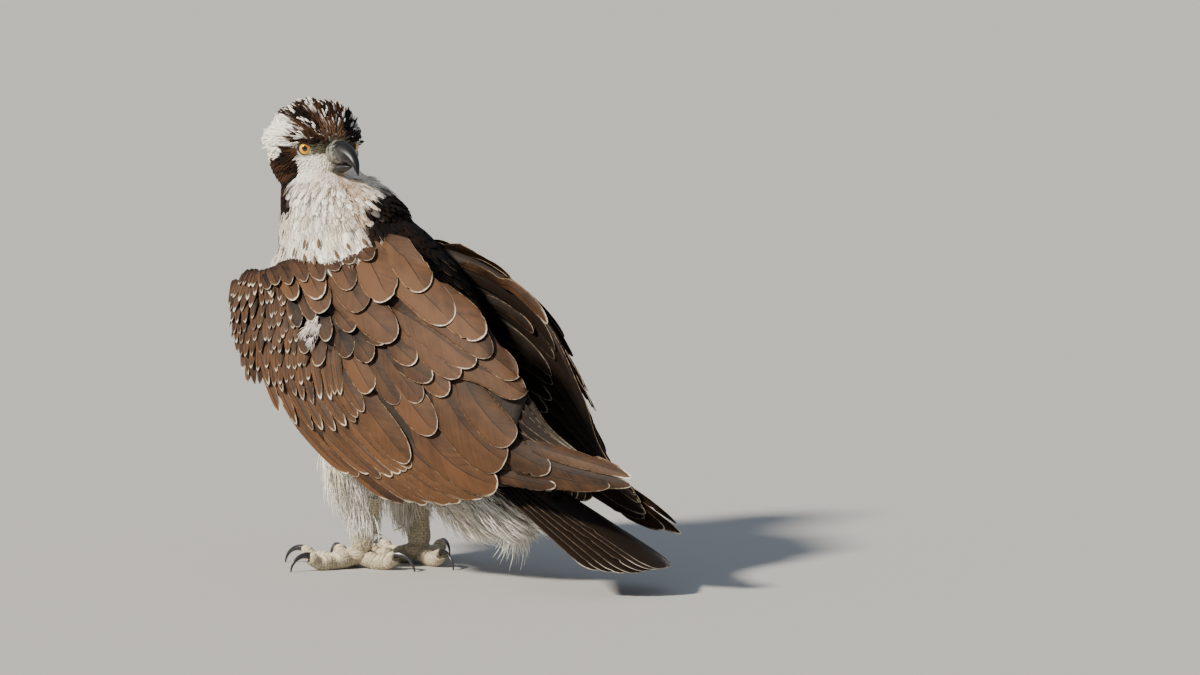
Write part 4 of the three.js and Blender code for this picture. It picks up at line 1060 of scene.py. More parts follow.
def wingArm(side):  # fleshy arm under the feathers
    core = wing["core"]
    rows, cols = core["grid"]
    a, b = np.meshgrid(np.linspace(*core["s"], rows), np.linspace(*core["t"], cols), indexing="ij")
    place, normal = wingFrame(side, a, b)[:2]
    points = np.stack([place - normal * core["depth"], innerPlace(side, a, b)]).reshape(-1, 3)
    faces = plateFaces(rows, cols, 1)
    return points, faces if side == right else faces[:, ::-1]


# Feather finish
look = {
    "dark": (0.010, 0.0055, 0.003), "brown": (0.118, 0.054, 0.0225), "cream": (0.50, 0.35, 0.21),
    "white": (0.88, 0.79, 0.64), "shaft": (0.006, 0.003, 0.002), "rimWidth": 0.45,
    # the arm's near black is painted shade for the gaps between the feathers
    "arm": ((0.010, 0.006, 0.004), (0.03, 0.018, 0.011)),
}


def featherFinish(name, depth):
    f = Finish(name, Specular_IOR_Level=0.22)
    off, run, edge, along = f.values("off", "run", "edge", "along")
    seed, tone, rim, pale = f.values("seed", "tone", "rim", "pale")
    slant = run - off.size() * 1.5
    barbs = f.noise(f.vector(slant * 1.7, seed * 60, off.maths("SIGN") * 3), 1.0, 3, 0.65)
    clumps = f.noise(f.vector(slant * 0.22, seed * 90, off * 0.02), 1.0)
    cloud = f.noise(f.vector(run * 0.05, off * 0.09, seed * 40), 1.0)
    beyond = (off * -1).step(-0.5, 0.8)  # painted shade: the half of the vane beyond the shaft is darker
    shade = tone * (1 - beyond * 0.38) + (seed - 0.5) * 0.45 + (cloud - 0.5) * 0.9
    # painted shade: the vane darkens towards its root, where the feathers above cover it
    shade = shade + (barbs - 0.5) * 0.85 + (clumps - 0.5) * 0.45 - (1 - along.step(0.1, 0.6)) * 0.25
    base = f.blend((shade * depth).held(), look["dark"], look["brown"])
    ragged = edge + (barbs - 0.5) * 1.6 + (clumps - 0.5) * 1.6
    wide = look["rimWidth"] * (0.4 + along.step(0.45, 0.95) * 0.8) * (0.5 + seed * 0.8)
    fringe = (1 - (ragged / wide).step(0.5, 1.3)) * rim * along.step(0.12, 0.4) * (0.5 + cloud)
    tip = (1 - (ragged / (wide * 2.3)).step(0.3, 1.2)) * along.step(0.84, 0.98)
    tip = tip * pale * (0.3 + seed * 0.9 + (cloud - 0.5))
    base = f.blend(fringe.held(), base, look["cream"])
    base = f.blend(tip.held(), base, look["white"])
    shaft = (1 - off.size().step(0.22, 0.55)) * (1 - along.step(0.8, 0.97)) * 0.8
    base = f.blend(shaft, base, look["shaft"])
    height = barbs * 0.4 + shaft * 0.9 + clumps * 0.5
    return f.feed(Base_Color=base, Roughness=0.62 - shaft * 0.15 + (barbs - 0.5) * 0.12,
                  Normal=f.bump(height, 0.00035, 0.55))


def coatFinish(name, strength, fringe=0.0):
    f = Finish(name, Specular_IOR_Level=0.12)
    along, seed, edge = f.values("along", "seed", "edge")
    grain = f.grain(900)
    base = f.shaded(f.paint(), 0.8 + seed * 0.18 + along * 0.12 + (grain - 0.5) * 0.25)
    if fringe:
        rim = (1 - (edge + (grain - 0.5) * 1.2).step(0.2, 0.8)) * along.step(0.55, 0.9)
        base = f.blend(rim * (seed.step(0.1, 0.6) * fringe), base, look["cream"])
    return f.feed(Base_Color=base, Roughness=0.8 + (grain - 0.5) * 0.15,
                  Normal=f.bump(grain, 0.0004, strength))


# painted shade: the arm under the feathers is near black, so the gaps between them look shaded
def armFinish():
    f = Finish("wingUnderPaintedShade", Roughness=0.85)
    grain = f.grain(260, 3, 0.5)
    return f.feed(Base_Color=f.blend(grain, *look["arm"]), Normal=f.bump(grain, 0.001, 0.4))


def makeWing(side, name, finish, slot, seed):
    rng = np.random.default_rng(seed)
    rows = {"flight": [], "coverts": []}
    for row in wingRows:
        rows["flight" if row["name"] in wing["quills"] else "coverts"].append(wingVanes(side, row, rng))
    featherPiece(f"wing_{name}_flight", rows["flight"], finish, slot, f"wing_{name}")
    featherPiece(f"wing_{name}_coverts", rows["coverts"], finish, slot)
    lining = [wingVanes(side, tierRow(tier), rng, True) for tier in liningTiers]
    featherPiece(f"wing_{name}_lining", lining, liningPaintedShade, slot)
    settle(addMesh(f"wing_{name}_arm", *wingArm(side)), wingUnderPaintedShade, slot)


warmFeather = featherFinish("wingFeather", 1.0)
# near black: painted shade on the wings' inner faces
liningPaintedShade = featherFinish("darkFeatherPaintedShade", 0.1)
# painted shade: the right wing is dressed darker than the left, though both wings are the same brown
farWingPaintedShade = featherFinish("farWingPaintedShade", 0.3)
wingUnderPaintedShade = armFinish()
makeWing(left, "left", warmFeather, "brown_plumage", 40)
makeWing(right, "right", farWingPaintedShade, "dark_plumage", 42)
inner = [wingVanes(right, tierRow(innerTier), np.random.default_rng(7), True)]
featherPiece("wing_right_inner_quills", inner, warmFeather, "brown_plumage")
print("wings made")

# Tail: its feathers fanned in a shallow roof, the middle pair on top
tailVane = {"grid": (34, 9), "shoulder": 0.86, "tip": 2.6, "tone": 0.5, "rim": 0.16, "pale": 0.8}


def tailFeathers(rng):
    count = tail["feathers"]
    place = (2 * np.arange(count) + 1) / count - 1
    out = np.abs(place)
    fan = np.radians(tail["fan"] * place)[:, None]
    length = tailLength * (1 - tail["round"] * out**2) * (1 + 0.015 * (rng.random(count) - 0.5))
    way = tailAlong * np.cos(fan) + yAxis * np.sin(fan)
    flat = yAxis * np.cos(fan) - tailAlong * np.sin(fan)
    over = tail["lift"] - tail["roofRoot"] * out + tail["step"] * (place > 0)
    root = tailRoot + yAxis * (place * tail["spread"])[:, None] + tailOver * over[:, None]
    half = np.full(count, tail["half"]) * (1 + 0.04 * (rng.random(count) - 0.5))
    k, e, reach = vaneShape(tailVane, count, rng)
    outline = vaneOutline(k, tailVane)
    top, bottom = [], []
    sway = (rng.random(count) - 0.5) * tail["sway"]
    for n, at in enumerate(k):
        off = half[:, None] * outline[n] * e[None] * reach[n]
        middle = root + way * (length * at)[:, None]
        middle = middle + tailOver * (-tail["roof"] * out * at + sway * at**2)[:, None]
        lean = -np.sign(place)[:, None] * off * (out * tail["lean"])[:, None]
        camber = tail["camber"] * (1 - (off / half[:, None]) ** 2)
        spot = middle[:, None] + flat[:, None] * off[..., None] + tailOver * (lean + camber)[..., None]
        shaft = tail["shaft"] * np.exp(-(off / tail["shaftHalf"]) ** 2) * (1 - vane["shaftThin"] * at)
        thick = (tail["thick"] - tail["thin"] * at + shaft)[..., None]
        top.append(spot + tailOver * thick / 2)
        bottom.append(spot - tailOver * thick / 2)
    faces = [np.stack(top, 1), np.stack(bottom, 1)]
    lower = np.where(place < 0, -1.0, 1.0)
    return featherArrays(faces, tailVane, (k, e, outline), length, half, lower, rng)


# depth 0.1 makes the tail far darker than the wing's brown: partly the tail's own dark brown, partly
# painted shade from the wings over it
tailFinish = featherFinish("tailFeather", 0.1)
featherPiece("tail_feathers", [tailFeathers(np.random.default_rng(77))], tailFinish, "dark_plumage", "tail")
print("tail made")

# Skin and coat
skinPaint = markings(skinPoints)[0]
addPaint(skin.data, skinPaint)
skin.data.polygons.foreach_set("use_smooth", np.full(len(skin.data.polygons), True))


def skinFinish():
    f = Finish("skin", Specular_IOR_Level=0.2)
    grain = f.grain(500, 4, 0.65)
    return f.feed(Base_Color=f.shaded(f.paint(), 0.7 + grain * 0.3), Roughness=0.85 + grain * 0.1,
                  Normal=f.bump(grain, 0.0012, 0.7))


settle(skin, skinFinish(), "white_plumage", "torso", "neck", "head", "thigh_left", "thigh_right")
softCoat = coatFinish("softCoat", 0.3)


def coatRegion(name, coat, keep, make, size, finish=softCoat):
    roots, normals, rng = scatter(keep, coat["spacing"], coat["seed"])
    lie = coatLie(roots)
    lie = lie - normals * dot(lie, normals) + (rng.random(roots.shape) - 0.5) * coat["stray"]
    lie = unit(lie - normals * dot(lie, normals))
    paint, dark = markings(roots + coat["stir"] * (rng.random(roots.shape) - 0.5))
    vary = 1 + 0.3 * (rng.random((len(roots), 1)) - 0.5)
    sizes = size(coat, roots, dark, rng)
    piece = make(name, roots, normals, lie, sizes, coat, np.clip(paint * vary, 0, 1), rng)
    settle(piece, finish, "white_plumage")
    print(name, len(roots), "roots")


# Head: fine plates on the cheeks, and narrow ruffled ones on the crown.
# Pairs of sizes are those at the back and those near the bill
cheek = {"spacing": 1.5, "seed": 11, "rows": 5, "cols": 3, "root": 0.5, "shoulder": 0.3, "tip": 1.6,
         "sink": 0.4, "fray": 0.3, "camber": 0.25, "thick": 0.3, "stray": 0.2, "stir": 1,
         "near": (-6, 30), "length": (9.0, 3.8), "slim": (0.13, 0.17), "lift": (1.3, 0.6), "bend": 0.5,
         "eyeEdge": (8.3, 9), "billForward": 34, "billUp": -3, "billEdge": (7, 10), "headFrom": (0.1, 0.5)}
crown = {**cheek, "spacing": 1.45, "seed": 15, "stray": 0.3, "stir": 4.5,
         "near": (4, 32), "length": (11.5, 4.5), "half": (1.15, 0.75), "ruffle": (6.5, 2.2), "bend": 0.6,
         "height": (4, 10), "patch": 8}


def faceKeep(points):  # no feathers on the eyes and round the bill
    forward, side, up = headPlace(points)
    bare = np.zeros(len(points))
    for sign in (headRight, headLeft):
        far = np.linalg.norm(points - eyeCentre(sign), axis=1)
        bare = np.maximum(bare, 1 - ramp(far, *cheek["eyeEdge"]))
    far = np.abs(forward - cheek["billForward"]) + 0.6 * np.abs(side) + 0.3 * np.abs(up - cheek["billUp"])
    return (1 - bare) * ramp(far, *cheek["billEdge"])


def crownShare(points):
    return ramp(headPlace(points)[2], *crown["height"])


def headKeep(points):
    return ramp(headShare(points), *cheek["headFrom"]) * faceKeep(points)


def cheekSize(coat, roots, dark, rng):
    near = ramp(headPlace(roots)[0], *coat["near"])
    length = mixed(*coat["length"], near) * (0.75 + 0.5 * rng.random(len(roots)))
    lift = (0.5 + rng.random(len(roots))) * mixed(*coat["lift"], near)
    return length, length * mixed(*coat["slim"], near), lift, coat["bend"]


def crownSize(coat, roots, dark, rng):
    near = ramp(headPlace(roots)[0], *coat["near"])
    ruffle = patches(roots, coat["patch"], 61) * (0.3 + 0.9 * rng.random(len(roots)))
    length = mixed(*coat["length"], near) * (0.75 + 0.5 * rng.random(len(roots)))
    return length, mixed(*coat["half"], near), 1.0 + ruffle * mixed(*coat["ruffle"], near), coat["bend"]


coatRegion("cheek_coat", cheek, lambda p: headKeep(p) * (1 - crownShare(p)), coatPlates, cheekSize)
coatRegion("crown_coat", crown, lambda p: headKeep(p) * crownShare(p), coatPlates, crownSize)

# Body and neck. Pairs of lengths are those low down and high up
body = {"spacing": 4.9, "seed": 12, "rows": 5, "cols": 3, "root": 0.5, "shoulder": 0.45, "tip": 1.8,
        "sink": 0.8, "fray": 0.2, "camber": 0.2, "thick": 0.4, "stray": 0.16, "stir": 1,
        "length": (20, 13), "heights": (250, 310), "slim": (0.2, 0.24), "lift": 2.6, "bend": 1.2,
        "neckFrom": 232, "headFrom": (0.3, 0.7), "underMantle": 0.7}
neck = {**body, "spacing": 3.6, "seed": 18, "cols": 5}
mantle = {**neck, "spacing": 4.4, "seed": 16, "rows": 7, "tip": 1.5, "length": (24, 12),
          "heights": (245, 300), "slim": 0.2, "lift": (2.4, 2.2), "bend": 1.0,
          "low": (120, 150), "high": (256, 268)}


def mantleShare(points):  # dark back between the wings
    z = points[:, 2]
    return markings(points)[1] * ramp(z, *mantle["low"]) * (1 - ramp(z, *mantle["high"]))


def bodyKeep(points):
    below = 1 - ramp(headShare(points), *body["headFrom"])
    return below * (1 - body["underMantle"] * mantleShare(points))


def coatLength(coat, roots, rng, least=0.8, spread=0.4):
    height = ramp(roots[:, 2], *coat["heights"])
    return mixed(*coat["length"], height) * (least + spread * rng.random(len(roots)))


def bodySize(coat, roots, dark, rng):
    length = coatLength(coat, roots, rng)
    return length, length * mixed(*coat["slim"], dark), coat["lift"], coat["bend"]


def mantleSize(coat, roots, dark, rng):
    length = coatLength(coat, roots, rng)
    least, more = coat["lift"]
    return length, length * coat["slim"], least + more * rng.random(len(roots)), coat["bend"]


coatRegion("body_coat", body, lambda p: bodyKeep(p) * (p[:, 2] < body["neckFrom"]), coatPlates, bodySize)
coatRegion("neck_coat", neck, lambda p: bodyKeep(p) * (p[:, 2] >= body["neckFrom"]), coatPlates, bodySize)
coatRegion("mantle_coat", mantle, mantleShare, coatPlates, mantleSize, coatFinish("mantleCoat", 0.4, 0.16))

# Long loose strands on the throat, and on the thighs, the belly and under the tail
throat = {"spacing": 3.7, "seed": 13, "strands": 6, "rows": 5, "curl": 0.2, "sink": 0.6, "width": 0.42,
          "flat": 0.5, "part": 0.25, "shortSides": 0.28, "stray": 0.16, "stir": 0, "length": (24, 13),
          "heights": (255, 325), "slim": 0.13, "lift": 3.4, "loose": 5, "bend": 1.4, "low": (236, 250),
          "headFrom": (0.75, 1), "looseEnd": (244, 282), "looseBack": (-90, -60)}
belly = {**throat, "spacing": 4.4, "seed": 14, "strands": 7, "width": 0.7, "slim": 0.15, "bend": 2.0,
         "length": (22, 52), "thighLength": (14, 34), "hang": (4, 7), "ventHang": 20,
         "high": (118, 150), "front": (-40, 0), "vent": (40, 95), "ventHigh": (84, 110),
         "floorShare": 0.3, "floorLength": (8, 80), "floorGap": 20, "slope": 1.1}


def throatKeep(points):
    high = ramp(points[:, 2], *throat["low"]) * (1 - ramp(headShare(points), *throat["headFrom"]))
    return (1 - markings(points)[1]) * high * faceKeep(points)


def throatSize(coat, roots, dark, rng):
    length = coatLength(coat, roots, rng, 0.75, 0.5)
    loose = (1 - ramp(roots[:, 2], *coat["looseEnd"])) * (1 - ramp(roots[:, 0], *coat["looseBack"]))
    return length, length * coat["slim"], coat["lift"] + coat["loose"] * loose, coat["bend"]


def bellyKeep(points):
    x, _, z = points.T
    pale = (1 - ramp(z, *belly["high"])) * (1 - markings(points)[1]) * ramp(x, *belly["front"])
    return np.maximum(thighShare(points), pale)


def bellySize(coat, roots, dark, rng):  # no strand is long enough to reach the floor
    x, _, z = roots.T
    thigh = thighShare(roots)
    vent = ramp(x, *coat["vent"]) * (1 - thigh)
    length = mixed(mixed(*coat["length"], vent), np.clip(z - 24, *coat["thighLength"]), thigh)
    length = length * (0.7 + 0.5 * rng.random(len(roots)))
    low = 1 - ramp(z, *coat["ventHigh"])
    hang = mixed(mixed(*coat["hang"], thigh), coat["ventHang"], vent * low)
    hang = np.minimum(hang * (0.5 + rng.random(len(roots))), z * coat["floorShare"])
    most = np.clip((z - coat["floorGap"]) * coat["slope"], *coat["floorLength"])
    return np.minimum(length, most), length * coat["slim"], hang, coat["bend"]


coatRegion("throat_coat", throat, throatKeep, coatStrands, throatSize)
coatRegion("belly_coat", belly, bellyKeep, coatStrands, bellySize)

# Brown drops over the white of the breast
drops = {**body, "spacing": 11, "seed": 17, "rows": 6, "root": 0.2, "sink": -3.8, "shoulder": 0.4,
         "length": (6.5, 4), "half": (1.1, 0.7), "lift": 5.2, "bend": 0.4, "tan": 0.25,
         "low": (228, 240), "high": (266, 276), "middle": -10, "turn": 70}


def dropKeep(points):
    z = points[:, 2]
    front = np.abs(neckTurn(points) - drops["middle"]) < drops["turn"]
    return (1 - markings(points)[1]) * ramp(z, *drops["low"]) * (1 - ramp(z, *drops["high"])) * front


def dropSize(coat, roots, dark, rng):
    length, half = (least + more * rng.random(len(roots)) for least, more in (coat["length"], coat["half"]))
    return length, half, coat["lift"], coat["bend"]


def dropPlates(name, roots, normals, lie, size, coat, paint, rng):
    brown = np.broadcast_to(mixed(tones["brown"], tones["tan"], coat["tan"]), paint.shape)
    return coatPlates(name, roots, normals, lie, size, coat, brown, rng)


coatRegion("breast_drops", drops, dropKeep, dropPlates, dropSize)

# White down that shows between the tiers of the left wing
down = {"s": (0.3, 0.328), "t": (0.38, 0.52), "count": 26, "height": 3.6, "size": (10, 2.6, 1.8, 0.6),
        "stray": 0.7}


def makeDown(rng):
    n = down["count"]
    s, t = mixed(*down["s"], rng.random(n)), mixed(*down["t"], rng.random(n))
    spot, normal, _, alongT = wingFrame(left, s, t)
    lie = unit(unit(alongT) + down["stray"] * (rng.random((n, 3)) - 0.5))
    paint = tones["white"] * (0.9 + 0.1 * rng.random((n, 1)))
    roots = spot + normal * down["height"]
    return coatStrands("down_tuft", roots, normal, lie, down["size"], throat, paint, rng)


settle(makeDown(np.random.default_rng(23)), softCoat, "white_plumage")
print("coat made")


# Eyes: a ball with a raised cornea, coloured by how far a point is from its axis
def eyeAxes(side):  # where the eye looks, and level and upwards square to that
    out = math.radians(eye["outward"] if side == headRight else eye["farOutward"])
    axis = headForward * math.cos(out) + headSide * side * math.sin(out)
    across = unit(np.cross(axis, zAxis))
    return axis, across, np.cross(across, axis)


def makeEye(name, side, finish, *nodes):
    axis, across, over = eyeAxes(side)
    angle = np.linspace(0.004, np.pi - 0.004, eye["rings"])
    radius = eye["radius"] * (1 + eye["cornea"] * (1 - ramp(angle, *eye["corneaEdge"])))
    centre = eyeCentre(side) + axis * (radius * np.cos(angle))[:, None]
    reach = (radius * np.sin(angle))[:, None]
    sides = eye["sides"]
    points, quads, tris = loft(ellipse(centre, across * reach, over * reach, sides))
    behind = 9 * (angle > 1.5)  # keeps the iris off the back of the ball
    ring = endPadded(np.repeat(reach[:, 0] + behind, sides), 0, 20)
    turn = endPadded(np.tile(np.arange(sides) / sides, eye["rings"]), 0, 0)
    return settle(addMesh(name, points, quads, tris, {"ring": ring, "turn": turn}), finish, "eye", *nodes)


def eyeFinish():
    f = Finish("iris", Roughness=0.12, Coat_Roughness=0.02, Coat_Weight=1.0, Coat_IOR=1.45)
    ring, turn = f.values("ring", "turn")
    angle = turn * math.tau
    fibre = f.noise(f.vector(angle.maths("SINE") * 4, angle.maths("COSINE") * 4, ring * 0.22), 2.2, 4, 0.7)
    iris = f.blend(fibre.step(0.3, 0.7), (0.80, 0.30, 0.003), (1.0, 0.58, 0.008))
    iris = f.blend(ring.step(4.6, 5.5) * 0.8, iris, (0.30, 0.09, 0.004))
    iris = f.blend(1 - ring.step(2.3, 2.9), iris, (0.42, 0.15, 0.005))
    colour = f.blend(1 - ring.step(2.05, 2.3), iris, (0.004, 0.003, 0.003))
    return f.feed(Base_Color=f.blend(ring.step(5.7, 6.1), colour, (0.012, 0.009, 0.007)))


irisFinish = eyeFinish()
makeEye("eye_ball_left", headLeft, irisFinish, "eye_left")
makeEye("eye_ball_right", headRight, irisFinish, "eye_right")

lid = {"thick": 1.45, "clear": 0.5, "flat": 0.8, "steps": 72, "sides": 14,
       "folds": ((0.05, 13, 0), (0.04, 29, 1))}  # size, count and start of the folds


def makeLid(name, side, finish):
    axis, across, over = eyeAxes(side)
    steps, sides = lid["steps"], lid["sides"]
    turn, a = fullTurn(steps), fullTurn(sides)
    reach = math.sqrt(eye["radius"] ** 2 - eye["lidRing"] ** 2) + lid["clear"]
    out = across * np.cos(turn)[:, None] + over * np.sin(turn)[:, None]
    fold = 1 + sum(size * np.sin(turn * count + start) for size, count, start in lid["folds"])
    path = eyeCentre(side) + axis * reach + out * eye["lidRing"]
    section = (out[:, None] * np.cos(a)[None, :, None]
               + axis * lid["flat"] * np.sin(a)[None, :, None]) * lid["thick"]
    points = (path[:, None] + section * fold[:, None, None]).reshape(-1, 3)
    r, i = np.meshgrid(np.arange(steps), np.arange(sides), indexing="ij")
    r2, i2 = (r + 1) % steps, (i + 1) % sides
    quads = np.stack([r * sides + i, r * sides + i2, r2 * sides + i2, r2 * sides + i], -1).reshape(-1, 4)
    values = {"height": np.repeat(np.sin(turn), sides), "ring": np.tile(np.cos(a), steps)}
    return settle(addMesh(name, points, quads, None, values), finish, "horn")


def lidFinish():
    f = Finish("lidSkin")
    height, ring = f.values("height", "ring")
    pale = (height * -1).step(0.1, 0.7) * ring.step(-0.2, 0.4)
    return f.feed(Base_Color=f.blend(pale, (0.012, 0.009, 0.008), (0.62, 0.60, 0.46)),
                  Roughness=0.45 + pale * 0.2)


lidSkin = lidFinish()
makeLid("lid_left", headLeft, lidSkin)
makeLid("lid_right", headRight, lidSkin)

# Bill: top forward, top up, bottom forward, bottom up, half width
bill = {
    "upper": [[27, 8.5, 26, -10.5, 11], [35, 8.8, 34, -11, 10.2], [43, 7.6, 42, -11, 8.8],
              [51, 4.2, 49, -11, 7], [58, -1.5, 54.5, -12, 5], [63, -8.5, 59.2, -14.5, 3.4],
              [65, -15.5, 62.2, -18.2, 1.9], [65, -21.3, 64.2, -21.2, 0.4]],
    "lower": [[26, -9.8, 27, -17.5, 9.5], [34, -10.2, 34, -18, 8], [42, -10.6, 42, -17, 6],
              [49, -11.6, 48.5, -15.4, 3.8], [53, -13.2, 52.8, -14.2, 1]],
    "nostril": {"forward": 40, "up": 2.2, "length": 7.8, "width": 4.2, "tilt": 40, "depth": 2.2},
    "cereEnd": (39.8, 41.8), "lowerCereEnd": (33, 38), "cereSwell": 0.5, "ridge": (0.3, 0.8),
    "blackForward": (44, 55), "blackUnder": (11, 17), "narrow": 0.12, "rings": 70, "sides": 48,
}


def nostrilShare(forward, side, up):  # a slit on each side of the cere
    slit = bill["nostril"]
    tilt = math.radians(slit["tilt"])
    df, du = forward - slit["forward"], up - slit["up"]
    lengthwise = df * math.cos(tilt) + du * math.sin(tilt)
    across = -df * math.sin(tilt) + du * math.cos(tilt)
    far = np.hypot(lengthwise / (slit["length"] / 2), across / (slit["width"] / 2))
    return (1 - ramp(far, 0.55, 1.1)) * (np.abs(side) > 5)


def billPiece(name, rows, finish, *nodes):
    upper = rows is bill["upper"]
    tf, tu, bf, bu, half = evenly(rows, bill["rings"]).T
    top, bottom = inHead(tf, 0 * tf, tu), inHead(bf, 0 * bf, bu)
    centre, tall = (top + bottom) / 2, (top - bottom) / 2
    angle = fullTurn(bill["sides"])
    narrow = 1 - bill["narrow"] * ramp(np.cos(angle), 0.3, 1)
    points = (centre[:, None] + tall[:, None] * np.cos(angle)[None, :, None]
              + (headSide * half[:, None])[:, None] * (np.sin(angle) * narrow)[None, :, None])
    forward, side, up = headPlace(points)
    if upper:
        cere = 1 - ramp(forward - 2.5 * np.sin(angle * 2)[None] + up * 0.25, *bill["cereEnd"])
    else:
        cere = 1 - ramp(forward, *bill["lowerCereEnd"])
    hole = nostrilShare(forward, side, up) * upper
    out = unit(points - centre[:, None])
    points = points + out * (cere * bill["cereSwell"])[..., None]
    points = points - out * (hole * bill["nostril"]["depth"])[..., None]
    ridge = ramp(np.cos(angle)[None] + 0 * cere, *bill["ridge"])  # black over the ridge and the hook
    black = np.maximum(np.maximum(ridge, ramp(forward, *bill["blackForward"])),
                       ramp(-up, *bill["blackUnder"]))
    values = {"cere": cere, "hole": hole, "black": black}
    values = {key: endPadded(value, value[0].mean(), value[-1].mean()) for key, value in values.items()}
    return settle(addMesh(name, *loft(points), values), finish, "horn", *nodes)


def billFinish():
    f = Finish("billHorn", Specular_IOR_Level=0.35)
    cere, hole, black = f.values("cere", "hole", "black")
    grain, cloud, mottle = f.grain(500, 4), f.grain(170), f.grain(330)
    # the horn's sides are paler grey than its black ridge and hook: partly the horn's own grey, partly a
    # painted highlight
    side = f.blend(cloud.step(0.3, 0.7), (0.022, 0.023, 0.024), (0.085, 0.085, 0.08))
    horn = f.blend(black, side, f.blend(cloud, (0.005, 0.005, 0.006), (0.014, 0.013, 0.014)))
    skinTone = f.blend(mottle.step(0.38, 0.58), (0.035, 0.032, 0.026), (0.24, 0.225, 0.18))
    # the nostril slits are painted near black: painted shade inside the openings
    colour = f.blend(hole, f.blend(cere, horn, skinTone), (0.004, 0.003, 0.003))
    return f.feed(Base_Color=colour, Roughness=0.3 + cere * 0.28 + grain * 0.1,
                  Normal=f.bump(grain * (0.2 + cere), 0.0003, 0.4))


hornOfBill = billFinish()
billPiece("bill_upper_horn", bill["upper"], hornOfBill, "bill_upper")
billPiece("bill_lower_horn", bill["lower"], hornOfBill, "bill_lower")
print("head parts made")

# Legs, toes and claws
foot = {
    "tarsus": (8.2, 7.2, 7.2, 9.4, 6.2),  # radii from heel to hub
    "tarsusRings": 110, "heelForward": 2, "heelUp": 8, "hub": 11, "hubHeight": 12, "hubFlat": 0.72,
    "hubRings": 40, "hubScales": (9, 26), "sides": 56,
    "tip": 11.5, "pads": 0.55, "padCount": 3, "press": 0.9, "raised": 0.72, "arch": 4, "archShare": 0.45,
    "toes": {1: (176, 34, 7.2, 5.6, 15), 2: (32, 43, 7, 5.4, 14.5), 3: (-4, 53, 7, 5.2, 14),
             4: (-62, 45, 7, 5.2, 13.5)},  # angle, length, radius at root and end, claw
    "toeRings": 90, "toeReach": (0.06, 1.02), "scutesFrom": (0.3, 0.42),
    "claw": {"radius": (3.4, 0.35), "start": 118, "sweep": 128, "sunk": 2.5, "narrow": 0.82, "rings": 40,
             "sides": 24, "floor": 0.1},
    "scale": 2.3, "scute": 3.6, "relief": 0.46, "border": (0.03, 0.22), "level": 0.7,
}


def cellPattern(a, b, seed=0):  # distance to the border between scattered scales, in their own size
    base = np.floor(np.stack([a, b], -1)).astype(int)
    best, second = np.full(a.shape, 9.0), np.full(a.shape, 9.0)
    for n in range(9):
        cell = base + np.array([n // 3 - 1, n % 3 - 1])
        code = scrambled((cell[..., 0] * hashPrimes[0] ^ cell[..., 1] * hashPrimes[1]) + seed * 977, 11)
        x = cell[..., 0] + 0.5 + 0.34 * ((code % 997) / 997 - 0.5) + 0.25 * (cell[..., 1] % 2)
        y = cell[..., 1] + 0.5 + 0.34 * ((code // 997 % 991) / 991 - 0.5)
        far = np.hypot(a - x, b - y)
        second = np.where(far < best, best, np.minimum(second, far))
        best = np.minimum(best, far)
    return ramp(second - best, *foot["border"])


def withScales(rings, middle, height):  # pushes the scales out and their borders in
    return rings + unit(rings - middle) * ((height - foot["level"]) * foot["relief"])[..., None]


def scaledTube(name, path, radius, scutes, floor, node):
    # a tube of skin with small scales all round and wide scutes over its upper or front side
    along = np.concatenate([[0], np.cumsum(np.linalg.norm(np.diff(path, axis=0), axis=1))])[:, None]
    sides = foot["sides"]
    rings = tubeRings(path, radius, radius, sides)
    angle = np.arange(sides) / sides
    round1 = max(6, round(2 * np.pi * float(np.mean(radius)) / foot["scale"]))
    border = cellPattern(*np.broadcast_arrays(angle * round1, along / foot["scale"]))
    over = ramp(np.sin(angle * 2 * np.pi), 0.35, 0.6)[None] * scutes[:, None]
    plate = 1 - ramp(np.abs((along / foot["scute"]) % 1 - 0.5) * 2, 0.7, 0.96)
    height = mixed(border, plate, over)
    rings = withScales(rings, path[:, None], height)
    rings[..., 2] = np.maximum(rings[..., 2], floor)
    values = {"height": endPadded(height, 0.5, 0.5), "scute": endPadded(over, 0.5, 0.5)}
    settle(addMesh(name, *loft(rings), values), scaleSkin, "foot_skin", node)


def footFinish():
    f = Finish("footSkin", Sheen_Weight=0.05)
    height, scute = f.values("height", "scute")
    cloud, grain = f.grain(90), f.grain(900)
    tone = f.blend(cloud.step(0.3, 0.7), (0.44, 0.38, 0.25), (0.60, 0.50, 0.34))
    tone = f.blend(scute * 0.7, tone, (0.72, 0.61, 0.43))
    colour = f.blend((height * 0.9 + 0.1).held(), (0.15, 0.13, 0.09), tone)
    return f.feed(Base_Color=colour, Roughness=0.5 + grain * 0.25, Normal=f.bump(grain, 0.0003, 0.4))


def clawFinish():
    f = Finish("clawHorn", Coat_Weight=0.3, Coat_Roughness=0.15)
    cloud, grain = f.grain(160), f.grain(700)
    return f.feed(Base_Color=f.blend(cloud, (0.010, 0.009, 0.010), (0.040, 0.036, 0.036)),
                  Roughness=0.2 + grain * 0.2, Normal=f.bump(grain, 0.0002, 0.3))


scaleSkin = footFinish()
clawHorn = clawFinish()


def makeTarsus(name, leg):
    heel = np.array(leg["heel"], float) + np.array([foot["heelForward"], 0, foot["heelUp"]])
    k = np.linspace(0, 1, foot["tarsusRings"])
    path = heel + (np.array([*leg["foot"], foot["hubHeight"] - 3], float) - heel) * k[:, None]
    radius = through([[v] for v in foot["tarsus"]], k)[:, 0]
    scaledTube(f"tarsus_{name}_skin", path, radius, 0 * k, 0.3, f"tarsus_{name}")


